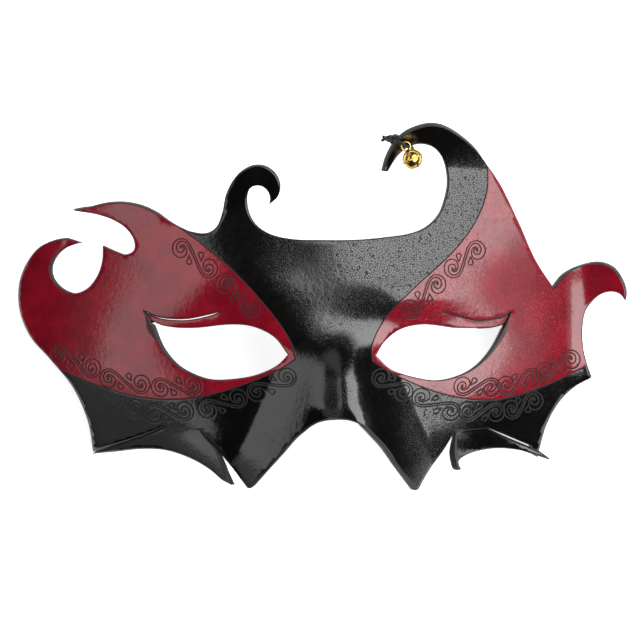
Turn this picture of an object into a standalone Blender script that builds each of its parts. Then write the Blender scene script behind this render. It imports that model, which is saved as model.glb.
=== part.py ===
"""A jester's half mask, cut from one sheet of leather and wet-formed, with a small bell.

The sheet is drawn flat, as it shows from the front, and then raised to the form of a face.
It lies on its back with its face up. Metres, +Z up, +Y towards the forehead, and the origin
is under the middle of the bounding box. Lengths in this file are millimetres until a mesh
is made, and x and y are measured from the top of the nose.
"""

import collections
import math

import bmesh
import bpy
import numpy as np
from mathutils import Matrix, Vector
from mathutils.geometry import delaunay_2d_cdt

MM = 0.001

Swell = collections.namedtuple("Swell", "rise centre spread")
Lean = collections.namedtuple("Lean", "rise_over_run bend_y blend fade_x")

# The leather
LEATHER_THICKNESS = 2.6
GRID_STEP = 6.0
MOST_EDGE_STEP = 6.0
MOST_EDGE_TURN = math.radians(15)
CLEAR_OF_LINES = 1.9

# The form of the face: a vault over the floor, less on the right than on the left
VAULT = 36.0
CROWN_Y = 12.0
LEFT_REACH = 103.0
RIGHT_REACH = 90.3
LEFT_TAPER = 0.43
RIGHT_TAPER = 0.2
TAPER_Y = -10.0
TAPER_BLEND = 5.0
HORN_FLARE = 0.5
HORN_FLARE_Y = 18.0
HORN_FLARE_BLEND = 6.0
SIDE_TILT = 0.04
FALL_BELOW = 0.2
FALL_ABOVE = 0.12
FALL_SPAN = 50.0
RIGHT_INNER_BROW = Swell(2.6, (24.5, 15), (12, 6))
LEFT_INNER_BROW = Swell(1.0, (-22, 18), (12, 8))
OUTER_BROW = Swell(1.2, (42, 20), (20, 9))
EYE_SOCKET = Swell(-2.0, (40, -2), (22, 10))
CHEEK = Swell(1.6, (37, -36), (14, 12))
RIGHT_RIM_CURL = 1.15
RIGHT_RIM_X = 86.0
RIGHT_RIM_BLEND = 5.0
RIGHT_RIM_Y = (-30, -16)

# The nose is a tent: two flat flanks from a rounded ridge down to a crease in each cheek
NOSE_X = 0.6
NOSE_ROOT = Swell(-1.0, (3, 7), (11, 8))
NOSE_HALF_WIDTH = 15.5
NOSE_SPREAD = 0.44
NOSE_SPREAD_Y = 5.0
NOSE_SPREAD_BLEND = 3.0
NOSE_RIDGE_RADIUS = 7.0
NOSE_CREASE_BLEND = 1.5
NOSE_FLANK_SLOPE = 0.52
NOSE_FLANK_BIAS = 0.18
NOSE_BIAS_WIDTH = 5.0
NOSE_RISE_Y = (-10, 15)
NOSE_TIP_CURL = 0.5
NOSE_TIP_Y = 23.5
NOSE_TIP_BLEND = 1.5
NOSE_TIP_WIDTH = 7.0

# How the horns and the left rims lean towards the viewer: the slope, the height on the face
# where it starts, the length over which it comes in, and the x range over which it fades
TALL_HORN_LEAN = Lean(0.85, 61, 5, (2, 8))
CURL_HORN_LEAN = Lean(0.45, 47, 4, (-48, -43))
UPPER_LOBE_LEAN = Lean(0.4, 41, 5, (-62, -54))
LEFT_LOBE_LEAN = Lean(0.4, 28, 4, (-96, -86))
HOOK_TWIST = 0.35
HOOK_TWIST_X = 25.0
HOOK_TWIST_BLEND = 4.0
HOOK_TWIST_Y = (52, 58)

# The slab that pares the back flat where the mask lies on it
FLOOR_SIZE = 300.0
FLOOR_DEPTH = 20.0

# The cut flaps and eyelids
HINGE_CLEAR = 1.2
HINGE_BLEND = 1.0
LEFT_FLAP_LIFT = 0.011
LEFT_FLAP_LIFT_X = -60.0
LEFT_FLAP_LIFT_BLEND = 5.0
RIGHT_FLAP_CURL = 0.0055
RIGHT_FLAP_CURL_X = 52.0
RIGHT_FLAP_LIFT = 0.034
RIGHT_FLAP_LIFT_X = 58.0
LEFT_LID = Swell(0.8, (-54, 5.6), (9, 2.2))
LEFT_LID_TOP_Y = 7.4
RIGHT_LID = Swell(0.8, (50, 5.6), (9, 2.2))
RIGHT_LID_TOP_Y = 7.1

# The engraving
SCROLL_RADIUS = 3.2
SCROLL_EYE = 0.9
SCROLL_TURNS = 1.3
SCROLL_STEP = math.radians(30)
GROOVE_WIDTH = 0.9
GROOVE_DEPTH = 0.35
CUT_LINE_WIDTH = 0.6
CUT_LINE_STOP = 0.9

# The bell and its cord
BELL_RADIUS = 3.5
BELL_WALL = 0.45
BELL_SEGMENTS = 20
BELL_BOTTOM_ANGLE = math.radians(-84)
BELL_TOP_ANGLE = math.radians(80)
BELL_ARC_STEPS = 7
BELL_BAND = 0.25
BELL_BAND_HALF_HEIGHT = 0.4
BELL_BAND_ANGLE = math.radians(8)
BELL_SLOT = 0.9
BELL_SLOT_TOP = -0.9
BELL_SLOT_TURNS = (math.radians(20), math.radians(110))
NECK_LOW_RADIUS = 1.5
NECK_TOP_RADIUS = 0.7
NECK_SUNK = 0.55
LOOP_RADIUS = 1.5
LOOP_WIRE = 0.35
LOOP_RISE = 2.4
CORD_RADIUS = 0.5
CORD_STAND_OFF = 1.0

# The outline of the front face, clockwise from the lower left, one stroke from each sharp
# corner to the next. Each stroke starts where the one before it ends.
LEFT_SIDE = [(-86.7, -28.5), (-92, -16.6), (-100, -6.7), (-107, 1.3), (-110.7, 10.5),
             (-110.8, 20), (-108, 27.3), (-103, 32.9), (-95, 35.3), (-88.4, 34.2)]
ROUND_NOTCH = [(-93, 32.6), (-97.5, 29.7), (-99.8, 25.5), (-99, 21.5), (-95.5, 17.9),
               (-91, 16.4), (-86.5, 18.2), (-83, 22.8), (-81.4, 28), (-81.2, 33.1)]
OVAL_NOTCH = [(-77, 31.2), (-73, 30), (-70.2, 31.5), (-70.3, 35.2), (-73.2, 39.2),
              (-77.5, 41.9), (-83, 43.8), (-90.7, 45.1)]
UPPER_LEFT = [(-86.5, 46.3), (-80, 47.8), (-74, 48), (-68, 46.8), (-62, 44.2), (-55, 40.1),
              (-50, 38), (-44.5, 37.5), (-41.2, 39.6), (-39.2, 44.5), (-37.7, 51.2),
              (-34.2, 57.2), (-30.1, 60.1), (-27, 60.8), (-23.8, 60.2), (-20.5, 57.7),
              (-18.8, 53.6), (-19.6, 50), (-22.9, 47.1)]
TOP_AND_HOOK = [(-22.4, 49), (-23.2, 51.8), (-25.8, 53.7), (-28.9, 53.2), (-30.4, 50.6),
                (-30.3, 45.9), (-27.6, 40.8), (-22.5, 37.2), (-15, 35.4), (-4, 35),
                (8, 35.1), (18, 36), (26.6, 37.3), (32.2, 39.5), (36.6, 43.6), (38.9, 49),
                (40, 56), (38.7, 62), (35.2, 66.7), (31, 68.2), (26.6, 67.4), (22.7, 64.4),
                (18.9, 58.8)]
HORN_TIP = [(17.4, 59)]
TALL_HORN = [(18.7, 63.2), (21.4, 68), (25, 71.7), (29, 73.7), (33.5, 74.7), (38, 74.2),
             (42.7, 71.9), (47.4, 68.4), (50.9, 64.9), (54, 60.8), (58.1, 55), (65.1, 40.8),
             (70.7, 28.4), (77.3, 18.1)]
RIGHT_LOBE = [(81.2, 22.7), (86.1, 25.6), (91.7, 27), (97.3, 25.2), (101.1, 20.5),
              (102.4, 16.5), (102.1, 13.7)]
LOBE_HOLLOW = [(100.3, 16), (96.8, 16.9), (92, 15.1), (88.6, 10.8), (87.3, 4), (87.5, -2),
               (88.6, -8), (90.1, -13.5)]
RIGHT_SCALLOP = [(84.5, -16.8), (79.1, -22.4), (74.9, -30.1), (72.7, -37.6), (71.8, -41.3)]
RIGHT_PANEL_TIP = [(70.5, -40.6), (69.6, -37.4)]
RIGHT_SLIT = [(61.6, -34), (53.7, -30.8)]
RIGHT_HINGE = [(42.5, -31.9)]
RIGHT_CHEEK = [(39.2, -37.6), (33.6, -45.7), (31.2, -49.7), (30, -52), (28.7, -52.7),
               (27.6, -51.4), (25, -48), (21.4, -43.1), (17.9, -38), (14, -33.6),
               (10.4, -30.2), (6, -28.4), (0.8, -28), (-4.4, -28.7), (-9, -30.9),
               (-13.6, -34.6), (-18.6, -40.4), (-23.4, -45.7), (-27.2, -49.9),
               (-28.8, -51.6), (-30, -52.2), (-31.4, -50.8), (-35, -45.9), (-41.4, -38),
               (-47.3, -31.2)]
LEFT_HINGE = [(-59.2, -30.5)]
LEFT_SLIT = [(-67, -33.5), (-75, -36.3), (-84.8, -39.5)]

# The lower flaps are strokes of their own, from one end of their hinge to the other
LEFT_FLAP = [[(-45, -34.3), (-41.5, -38.2), (-39, -43), (-37.4, -47.5), (-36.2, -50.7)],
             [(-39.5, -49), (-43.5, -45.6), (-50, -41.8), (-59, -38.8), (-68, -38.4),
              (-77, -39.4), (-84.6, -41.2)],
             [(-75, -36.9), (-67, -34.1), (-59.2, -30.5)]]
RIGHT_FLAP = [[(61.6, -34.4), (72.5, -39.1), (76.1, -41.7)],
              [(72.2, -40.6), (65.1, -38.7), (58.1, -38.1), (52.2, -38.7), (46.6, -40.4),
               (43.9, -42.6), (44.9, -45.3)],
              [(43.8, -45.6), (42.6, -42.4), (42, -38.4), (42.5, -31.9)]]

# Each eye runs from its inner corner over the lid to the outer corner and back below
LEFT_EYE_CORNER = (-16.3, -5.1)
LEFT_EYE = [[(-20.5, 0.5), (-25, 3.3), (-30, 4.9), (-36, 5.3), (-50, 4.1), (-57, 4.5),
             (-61, 5.4), (-62.9, 6.5), (-65.4, 9.2)],
            [(-61, 7.6), (-52, 7), (-45, 8.1), (-39, 9.9)],
            [(-45, 8.8), (-52, 7.6), (-61, 8.3), (-67, 10.5)],
            [(-63.6, 6.1), (-62.2, 2.5), (-59.9, -2.6), (-55, -8.5), (-50, -11.6), (-44, -13.7),
             (-37.5, -13.8), (-27.5, -12.2), (-20, -8.8), LEFT_EYE_CORNER]]
RIGHT_EYE_CORNER = (14.9, -5.3)
RIGHT_EYE = [[(17.7, -0.7), (23, 3.5), (30.8, 5.3), (43.7, 4.1), (52.3, 4.3), (57, 4.7),
              (59.4, 5.6), (61.5, 9.2)],
             [(57.3, 7.4), (50.8, 6.7), (45.1, 7.8), (37.2, 9.7)],
             [(45.1, 8.4), (50.8, 7.3), (57.3, 8), (62.7, 10.7)],
             [(59.2, 3.5), (55.7, -2.8), (51.1, -8.2), (45.9, -11.7), (37.1, -14.1),
              (28.4, -13), (20.3, -10.2), RIGHT_EYE_CORNER]]

# The knife-cut lines where the red dye meets the black
LEFT_UPPER_LINE = [(-54.5, 39.7), (-45, 32.7), (-33, 22), (-22.5, 10.3), (-16.1, 1.3),
                   (-14.2, -3.2), (-13.4, -6.7)]
LEFT_LOWER_LINE = [(-13.4, -6.7), (-19.6, -10.5), (-30, -15), (-42, -18.8), (-54, -20.7),
                   (-68, -20), (-84, -15.5), (-96.2, -10.4)]
RIGHT_UPPER_LINE = [(53.8, 61.4), (53.5, 52), (49.8, 42), (42.4, 31.7), (27.2, 17.4),
                    (18, 7.8), (13.3, -1.9), (13.5, -7.2)]
RIGHT_LOWER_LINE = [(13.5, -7.2), (20.3, -11.6), (37.1, -18.6), (51.1, -21), (60.6, -20.3),
                    (73.9, -16.1), (88.7, -9.3)]
BEYOND_THE_LEFT = [(-150, -10.4), (-150, 100), (-54.5, 100)]
BEYOND_THE_RIGHT = [(150, -9.3), (150, 100), (56, 100)]

# The two spiral centres of each engraved scroll
LEFT_SCROLLS = [((-53.2, 32.2), (-43.8, 24.9)), ((-37.8, 19.6), (-28.9, 10.9)),
                ((-95.9, -4.9), (-85.2, -10)), ((-78.9, -13.3), (-67.6, -15.8)),
                ((-60.6, -16.5), (-49.4, -16.1)), ((-80.9, -21.7), (-69.7, -24.4)),
                ((-62.8, -25.7), (-52.2, -25.2)), ((-44.1, -23.9), (-33.6, -20.6)),
                ((-27, -18), (-16.4, -13.2))]
RIGHT_SCROLLS = [((49.7, 31.5), (41.8, 25)), ((35.8, 19.6), (27, 10.6)),
                 ((45.2, -16.4), (55, -16.5)), ((60.7, -16.2), (69.3, -13.3)),
                 ((74.4, -11.2), (83.1, -6.8)), ((16.5, -13.4), (24.3, -17.9)),
                 ((30.5, -20.3), (41, -24.9)), ((46.9, -25.2), (56.6, -25)),
                 ((62.6, -24.4), (70, -21.2))]

# Where the bell's loop and body lie, seen from the front
LOOP_CENTRE = (25.1, 67.6)
BELL_CENTRE = (27.4, 63.2)
HORN_OUTER_EDGE = (22.6, 69.4)
HORN_INNER_EDGE = (26.6, 67.3)

# The knot beside the horn as (x, y, radius), and the cord's two ends as (x, y, rise)
KNOT_RISE = 0.5
KNOT_TURNS = [(21.1, 70.2, 1.15), (19.5, 70.2, 1.0)]
CORD_ENDS = [[(21, 70.2, 0), (19.4, 70.9, 0.5), (18.2, 70.7, 0), (16.9, 69.7, -0.3)],
             [(20.8, 70.1, 0), (19.5, 69.5, 0.4), (18.4, 69.9, 0.9), (17.3, 70.9, 0.6)]]

RED_DYE = (0.19, 0.012, 0.016, 1.0)
BLACK_DYE = (0.012, 0.012, 0.012, 1.0)
BRASS = (0.78, 0.55, 0.16, 1.0)
WAXED_BLACK = (0.008, 0.008, 0.008, 1.0)


def soft_ramp(value, blend):
    """0 below -blend, the value itself above blend, and a parabola between them."""
    middle = (value + blend) ** 2 / (4 * blend)
    return np.where(value <= -blend, 0.0, np.where(value >= blend, value, middle))


def soft_step(low, high, value):
    """0 below low and 1 above high, with a smooth rise between them."""
    part = np.clip((value - low) / (high - low), 0, 1)
    return part * part * (3 - 2 * part)


def swell(x, y, form):
    """The height of one swell of the form, as a bell curve with its own spread in x and in y."""
    across, along = (x - form.centre[0]) / form.spread[0], (y - form.centre[1]) / form.spread[1]
    return form.rise * np.exp(-(across**2) - along**2)


def pair(x, y, form):
    """The same swell on the right half of the face and mirrored on the left."""
    mirrored = form._replace(centre=(-form.centre[0], form.centre[1]))
    return swell(x, y, form) + swell(x, y, mirrored)


def nose_form(x, y):
    """How far the nose stands out of the face: it widens and rises from its root to its tip."""
    below = soft_ramp(NOSE_SPREAD_Y - y, NOSE_SPREAD_BLEND)
    half = NOSE_HALF_WIDTH + NOSE_SPREAD * below
    off = x - NOSE_X
    slope = NOSE_FLANK_SLOPE + NOSE_FLANK_BIAS * np.tanh(off / NOSE_BIAS_WIDTH)
    tent = slope * soft_ramp(half - np.hypot(off, NOSE_RIDGE_RADIUS), NOSE_CREASE_BLEND)
    curl = NOSE_TIP_CURL * soft_ramp(-y - NOSE_TIP_Y, NOSE_TIP_BLEND)
    return tent * soft_step(*NOSE_RISE_Y, -y) - curl * np.exp(-((off / NOSE_TIP_WIDTH) ** 4))


def face_form(x, y):
    """Height of the back of the sheet over the floor, where the sheet is level."""
    below = soft_ramp(TAPER_Y - y, TAPER_BLEND)
    above = soft_ramp(y - HORN_FLARE_Y, HORN_FLARE_BLEND)
    left = LEFT_REACH - LEFT_TAPER * below
    right = RIGHT_REACH - RIGHT_TAPER * below + HORN_FLARE * above
    reach = np.where(x < 0, left, right)
    fall = np.where(y < CROWN_Y, FALL_BELOW, FALL_ABOVE) * ((y - CROWN_Y) / FALL_SPAN) ** 2
    height = VAULT * (1 - (x / reach) ** 2 - fall) - SIDE_TILT * x
    height += nose_form(x, y)
    for form in (NOSE_ROOT, RIGHT_INNER_BROW, LEFT_INNER_BROW):
        height += swell(x, y, form)
    for form in (OUTER_BROW, EYE_SOCKET, CHEEK):
        height += pair(x, y, form)
    curl = RIGHT_RIM_CURL * soft_ramp(x - RIGHT_RIM_X, RIGHT_RIM_BLEND) * soft_step(*RIGHT_RIM_Y, y)
    return height + curl + horn_lean(x, y)


def leaning(y, lean):
    """What a leaning rim rises, before it fades to its sides."""
    return lean.rise_over_run * soft_ramp(y - lean.bend_y, lean.blend)


def horn_lean(x, y):
    """What the horns and the left rims rise as they lean towards the viewer."""
    tall = soft_step(*TALL_HORN_LEAN.fade_x, x)
    twist = HOOK_TWIST * soft_ramp(HOOK_TWIST_X - x, HOOK_TWIST_BLEND) * soft_step(*HOOK_TWIST_Y, y)
    lean = (leaning(y, TALL_HORN_LEAN) + twist) * tall
    lean += leaning(y, CURL_HORN_LEAN) * soft_step(*CURL_HORN_LEAN.fade_x, x) * (1 - tall)
    for rim in (UPPER_LOBE_LEAN, LEFT_LOBE_LEAN):
        lean += leaning(y, rim) * (1 - soft_step(*rim.fade_x, x))
    return lean


def below_hinge(x, y, hinge):
    """How far a point lies below the line through the two ends of a hinge."""
    (ax, ay), (bx, by) = sorted(hinge)
    length = math.hypot(bx - ax, by - ay)
    below = ((by - ay) * (x - ax) - (bx - ax) * (y - ay)) / length
    return soft_ramp(below - HINGE_CLEAR, HINGE_BLEND)


def sheet_height(x, y):
    """Height of the front face of the main sheet."""
    return LEATHER_THICKNESS + face_form(x, y) - lid_set_back(x, y)


def lid_set_back(x, y):
    """How far the cut eyelids lie behind the brow: most at the middle of the lid slit."""
    return swell(x, y, LEFT_LID) * (y < LEFT_LID_TOP_Y) + swell(x, y, RIGHT_LID) * (y < RIGHT_LID_TOP_Y)


def left_flap_height(x, y):
    """Front face of the left flap: its inner end comes forward."""
    below = below_hinge(x, y, (LEFT_HINGE[-1], RIGHT_CHEEK[-1]))
    lift = LEFT_FLAP_LIFT * below * soft_ramp(x - LEFT_FLAP_LIFT_X, LEFT_FLAP_LIFT_BLEND)
    return LEATHER_THICKNESS + face_form(x, y) + lift


def right_flap_height(x, y):
    """Front face of the right flap: both ends curl forward, the outer one over the panel."""
    below = below_hinge(x, y, (RIGHT_HINGE[-1], RIGHT_SLIT[-1]))
    curl = RIGHT_FLAP_CURL * soft_ramp(RIGHT_FLAP_CURL_X - x, 2) ** 2
    curl += RIGHT_FLAP_LIFT * soft_ramp(x - RIGHT_FLAP_LIFT_X, 4)
    return LEATHER_THICKNESS + face_form(x, y) + below * curl


def on_surface(height, flat):
    """Points of the front face over flat points, and the face's normals there."""
    x, y = flat[:, 0], flat[:, 1]
    nudge = 0.05
    slope_x = (height(x + nudge, y) - height(x - nudge, y)) / (2 * nudge)
    slope_y = (height(x, y + nudge) - height(x, y - nudge)) / (2 * nudge)
    normals = np.column_stack([-slope_x, -slope_y, np.ones(len(x))])
    normals /= np.linalg.norm(normals, axis=1)[:, None]
    return np.column_stack([x, y, height(x, y)]), normals


def smooth_curve(points, closed=False, per_span=24):
    """A centripetal Catmull-Rom curve through the points, finely sampled."""
    points = np.asarray(points, float)
    if closed:
        ring = np.vstack([points[-1], points, points[:2]])
    else:
        ring = np.vstack([2 * points[0] - points[1], points, 2 * points[-1] - points[-2]])
    spans = []
    for p0, p1, p2, p3 in zip(ring, ring[1:], ring[2:], ring[3:]):
        t1 = np.linalg.norm(p1 - p0) ** 0.5
        t2 = t1 + np.linalg.norm(p2 - p1) ** 0.5
        t3 = t2 + np.linalg.norm(p3 - p2) ** 0.5
        t = np.linspace(t1, t2, per_span, endpoint=False)[:, None]
        a1 = (t1 - t) / t1 * p0 + t / t1 * p1
        a2 = (t2 - t) / (t2 - t1) * p1 + (t - t1) / (t2 - t1) * p2
        a3 = (t3 - t) / (t3 - t2) * p2 + (t - t2) / (t3 - t2) * p3
        b1 = (t2 - t) / t2 * a1 + t / t2 * a2
        b2 = (t3 - t) / (t3 - t1) * a2 + (t - t1) / (t3 - t1) * a3
        spans.append((t2 - t) / (t2 - t1) * b1 + (t - t1) / (t2 - t1) * b2)
    if not closed:
        spans.append(points[-1:])
    return np.vstack(spans)


def thinned(curve, most_step=MOST_EDGE_STEP, most_turn=MOST_EDGE_TURN):
    """The curve with points only where it turns or runs on by the most allowed."""
    steps = np.diff(curve, axis=0)
    headings = np.unwrap(np.arctan2(steps[:, 1], steps[:, 0]))
    kept = [0]
    run = turn = 0.0
    for i in range(1, len(curve) - 1):
        run += np.linalg.norm(steps[i - 1])
        turn += abs(headings[i] - headings[i - 1])
        if run >= most_step or turn >= most_turn:
            kept.append(i)
            run = turn = 0.0
    return curve[kept + [len(curve) - 1]]


def strokes_from(start, strokes):
    """One open line through the strokes, with a sharp corner where two of them meet."""
    line = [np.array([start], float)]
    for stroke in strokes:
        through = [tuple(line[-1][-1])] + list(stroke)
        curve = smooth_curve(through) if len(through) > 2 else np.array(through, float)
        line.append(thinned(curve)[1:] if len(through) > 2 else curve[1:])
    return np.vstack(line)


def main_outline():
    """The closed outline of the main sheet, without its last point, which is its first."""
    strokes = [LEFT_SIDE, ROUND_NOTCH, OVAL_NOTCH, UPPER_LEFT, TOP_AND_HOOK, HORN_TIP,
               TALL_HORN, RIGHT_LOBE, LOBE_HOLLOW, RIGHT_SCALLOP, RIGHT_PANEL_TIP,
               RIGHT_SLIT, RIGHT_HINGE, RIGHT_CHEEK, LEFT_HINGE, LEFT_SLIT]
    return strokes_from(LEFT_SLIT[-1], strokes)[:-1]


def inside(points, ring):
    """Which points lie inside a closed ring, by counting the sides a ray crosses."""
    x, y = points[:, 0][:, None], points[:, 1][:, None]
    ax, ay = ring[:, 0], ring[:, 1]
    bx, by = np.roll(ax, -1), np.roll(ay, -1)
    spans = (ay > y) != (by > y)
    with np.errstate(divide="ignore", invalid="ignore"):
        crossing = ax + (y - ay) / (by - ay) * (bx - ax)
    return (spans & (x < crossing)).sum(axis=1) % 2 == 1


def grid_inside(ring, holes, lines):
    """Points of a staggered grid inside the ring, clear of it, its holes and its lines."""
    low, high = ring.min(axis=0), ring.max(axis=0)
    rows = np.arange(low[1], high[1], GRID_STEP * math.sqrt(3) / 2)
    columns = np.arange(low[0], high[0], GRID_STEP)
    x, y = np.meshgrid(columns, rows)
    x[1::2] += GRID_STEP / 2
    points = np.column_stack([x.ravel(), y.ravel()])
    keep = inside(points, ring)
    for hole in holes:
        keep &= ~inside(points, hole)
    closed_lines = [np.vstack([edge, edge[:1]]) for edge in [ring] + holes]
    for line in closed_lines + lines:
        keep &= distance_to_line(points, line) > CLEAR_OF_LINES
    return points[keep]


def distance_to_line(points, line):
    """Distance from each point to the nearest segment of an open line."""
    start, along = line[:-1], np.diff(line, axis=0)
    offset = points[:, None] - start
    part = np.clip((offset * along).sum(axis=2) / (along**2).sum(axis=1), 0, 1)
    return np.linalg.norm(offset - part[..., None] * along, axis=2).min(axis=1)


def sideways(line):
    """Unit vectors square to an open line, on its left."""
    along = np.gradient(line, axis=0)
    along /= np.linalg.norm(along, axis=1)[:, None]
    return np.column_stack([-along[:, 1], along[:, 0]])


def groove_lines(centre, width):
    """The two edges of a groove that narrows to a point at both ends."""
    out = sideways(centre) * width / 2
    out[0] = out[-1] = 0
    return centre + out, centre - out


def scroll(first, second, hand):
    """One S: out of the first spiral, across, and into the second, with its turning hand."""
    first, second = np.array(first), np.array(second)
    between = second - first
    distance = np.linalg.norm(between)
    heading = math.atan2(between[1], between[0]) - hand * math.asin(2 * SCROLL_RADIUS / distance)
    side = heading + hand * math.pi / 2
    turn = np.arange(0, SCROLL_TURNS * math.tau, SCROLL_STEP)
    radius = SCROLL_RADIUS + (SCROLL_EYE - SCROLL_RADIUS) * turn / turn[-1]
    angle = side + hand * turn
    spiral = np.column_stack([np.cos(angle), np.sin(angle)]) * radius[:, None]
    return np.vstack([(first + spiral)[::-1], second - spiral])


def scrolls():
    """The centre lines of all the engraved scrolls."""
    lines = [scroll(a, b, 1) for a, b in LEFT_SCROLLS]
    return lines + [scroll(a, b, -1) for a, b in RIGHT_SCROLLS]


def dye_lines():
    """The knife-cut lines, stopping just short of the sheet's edge."""
    lines = []
    for points in (LEFT_UPPER_LINE, LEFT_LOWER_LINE, RIGHT_UPPER_LINE, RIGHT_LOWER_LINE):
        curve = smooth_curve(points)
        from_start = np.linalg.norm(curve - curve[0], axis=1)
        from_end = np.linalg.norm(curve - curve[-1], axis=1)
        lines.append(thinned(curve[(from_start > CUT_LINE_STOP) & (from_end > CUT_LINE_STOP)]))
    return lines


def red_areas():
    """Two rings round the red leather, carried well past the sheet's edge."""
    left = smooth_curve(LEFT_UPPER_LINE), smooth_curve(LEFT_LOWER_LINE), BEYOND_THE_LEFT
    right = smooth_curve(RIGHT_UPPER_LINE), smooth_curve(RIGHT_LOWER_LINE), BEYOND_THE_RIGHT
    return np.vstack(left), np.vstack(right)


def triangulated(rings, lines, free):
    """Flat points and triangles over rings, lines and free points, as an edge-true mesh."""
    points, edges = [], []
    for ring in rings:
        first = len(points)
        points += list(ring)
        edges += [(first + i, first + (i + 1) % len(ring)) for i in range(len(ring))]
    for line in lines:
        first = len(points)
        points += list(line)
        edges += [(first + i, first + i + 1) for i in range(len(line) - 1)]
    points += list(free)
    found = delaunay_2d_cdt([Vector(p) for p in points], edges, [], 0, 1e-4)
    flat = np.array([tuple(p) for p in found[0]])
    triangles = np.array([face for face in found[2]])
    renumber = {source: i for i, sources in enumerate(found[3]) for source in sources}
    middles = flat[triangles].mean(axis=1)
    keep = inside(middles, rings[0])
    for hole in rings[1:]:
        keep &= ~inside(middles, hole)
    triangles = triangles[keep]
    a, b, c = (flat[triangles[:, i]] for i in range(3))
    area = (b[:, 0] - a[:, 0]) * (c[:, 1] - a[:, 1]) - (b[:, 1] - a[:, 1]) * (c[:, 0] - a[:, 0])
    triangles[area < 0] = triangles[area < 0][:, ::-1]
    return flat, triangles, renumber


class Sheet:
    """Gathers the leather's points and faces, front, back and edges, in one mesh."""

    def __init__(self):
        self.points = []
        self.faces = []
        self.dyes = []

    def add(self, points, faces, dyes):
        first = sum(len(block) for block in self.points)
        self.points.append(points)
        self.faces += [tuple(first + i for i in face) for face in faces]
        self.dyes += list(dyes)

    def add_leather(self, height, ring, holes, grooves):
        """One stretch of leather: its front with grooves, its plain back and its edges."""
        rings = [ring] + holes
        cut = [groove for centre, width in grooves for groove in groove_set(centre, width)]
        free = grid_inside(ring, holes, [centre for centre, _ in grooves])
        flat, front, number = triangulated(rings, cut, free)
        points, normals = on_surface(height, flat)
        first_groove = sum(len(edge) for edge in rings)
        depth = np.zeros(len(flat))
        for centre, _ in grooves:
            for i in range(len(centre)):
                ends = i in (0, len(centre) - 1)
                depth[number[first_groove + i]] = 0 if ends else GROOVE_DEPTH
            first_groove += 3 * len(centre)
        points -= normals * depth[:, None]
        middles = flat[front].mean(axis=1)
        is_red = inside(middles, RED_LEFT) | inside(middles, RED_RIGHT)
        self.add(points, front, is_red.astype(int))
        edge_front = [[number[i] for i in ring_numbers] for ring_numbers in ring_ranges(rings)]
        front_first = sum(len(block) for block in self.points) - len(points)

        free = grid_inside(ring, holes, [])
        flat, back, number = triangulated(rings, [], free)
        points, normals = on_surface(height, flat)
        self.add(points - normals * LEATHER_THICKNESS, back[:, ::-1], np.zeros(len(back), int))
        back_first = sum(len(block) for block in self.points) - len(points)
        edge_back = [[number[i] for i in ring_numbers] for ring_numbers in ring_ranges(rings)]
        self.add_edges(edge_front, edge_back, front_first, back_first, ring)

    def add_edges(self, edge_front, edge_back, front_first, back_first, ring):
        """The cut edges, as quads between the front's rings and the back's, less the hinge."""
        for fronts, backs in zip(edge_front, edge_back):
            for i in range(len(fronts)):
                j = (i + 1) % len(fronts)
                if fronts is edge_front[0] and is_hinge(ring[i], ring[j]):
                    continue
                quad = (front_first + fronts[i], front_first + fronts[j],
                        back_first + backs[j], back_first + backs[i])
                self.faces.append(quad)
                self.dyes.append(0)


def ring_ranges(rings):
    """The running numbers of the points of each ring, as they are handed to the mesher."""
    first = 0
    for ring in rings:
        yield range(first, first + len(ring))
        first += len(ring)


def groove_set(centre, width):
    """A groove's bottom line and its two edges."""
    left, right = groove_lines(centre, width)
    return [centre, left, right]


def is_hinge(a, b):
    """Whether a side of an outline is one of the two hinges, where no edge is cut."""
    ends = {tuple(np.round(a, 3)), tuple(np.round(b, 3))}
    hinges = ({LEFT_HINGE[-1], RIGHT_CHEEK[-1]}, {RIGHT_HINGE[-1], RIGHT_SLIT[-1]})
    return any(ends == hinge for hinge in hinges)


RED_LEFT, RED_RIGHT = red_areas()


def leather_sheet():
    """Points in millimetres, faces and dye numbers of the whole mask."""
    eyes = [strokes_from(LEFT_EYE_CORNER, LEFT_EYE)[:-1],
            strokes_from(RIGHT_EYE_CORNER, RIGHT_EYE)[:-1]]
    grooves = [(line, GROOVE_WIDTH) for line in scrolls()]
    grooves += [(line, CUT_LINE_WIDTH) for line in dye_lines()]
    left_flap = strokes_from(RIGHT_CHEEK[-1], LEFT_FLAP)
    right_flap = strokes_from(RIGHT_SLIT[-1], RIGHT_FLAP)
    sheet = Sheet()
    sheet.add_leather(sheet_height, main_outline(), eyes, grooves)
    sheet.add_leather(left_flap_height, left_flap, [], [])
    sheet.add_leather(right_flap_height, right_flap, [], [])
    return np.vstack(sheet.points), sheet.faces, sheet.dyes


def dress(obj, name, colour, roughness, metallic=0.0):
    """Adds one material to an object."""
    material = bpy.data.materials.new(name)
    material.use_nodes = True
    shader = material.node_tree.nodes["Principled BSDF"]
    shader.inputs["Base Color"].default_value = colour
    shader.inputs["Roughness"].default_value = roughness
    shader.inputs["Metallic"].default_value = metallic
    material.diffuse_color = colour
    obj.data.materials.append(material)


def linked(name, mesh):
    """An object in the scene for a mesh, shaded smooth but for its sharp edges."""
    mesh.shade_smooth()
    mesh.set_sharp_from_angle(angle=math.radians(40))
    obj = bpy.data.objects.new(name, mesh)
    bpy.context.collection.objects.link(obj)
    return obj


def floor_form():
    """A slab under the floor, which pares the rims flat where the mask lies on them."""
    work = bmesh.new()
    size = Matrix.Diagonal((FLOOR_SIZE * MM, FLOOR_SIZE * MM, FLOOR_DEPTH * MM, 1))
    place = Matrix.Translation((0, 0, -FLOOR_DEPTH * MM / 2))
    bmesh.ops.create_cube(work, size=1, matrix=place @ size)
    return mesh_object("floor_form", work)


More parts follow.
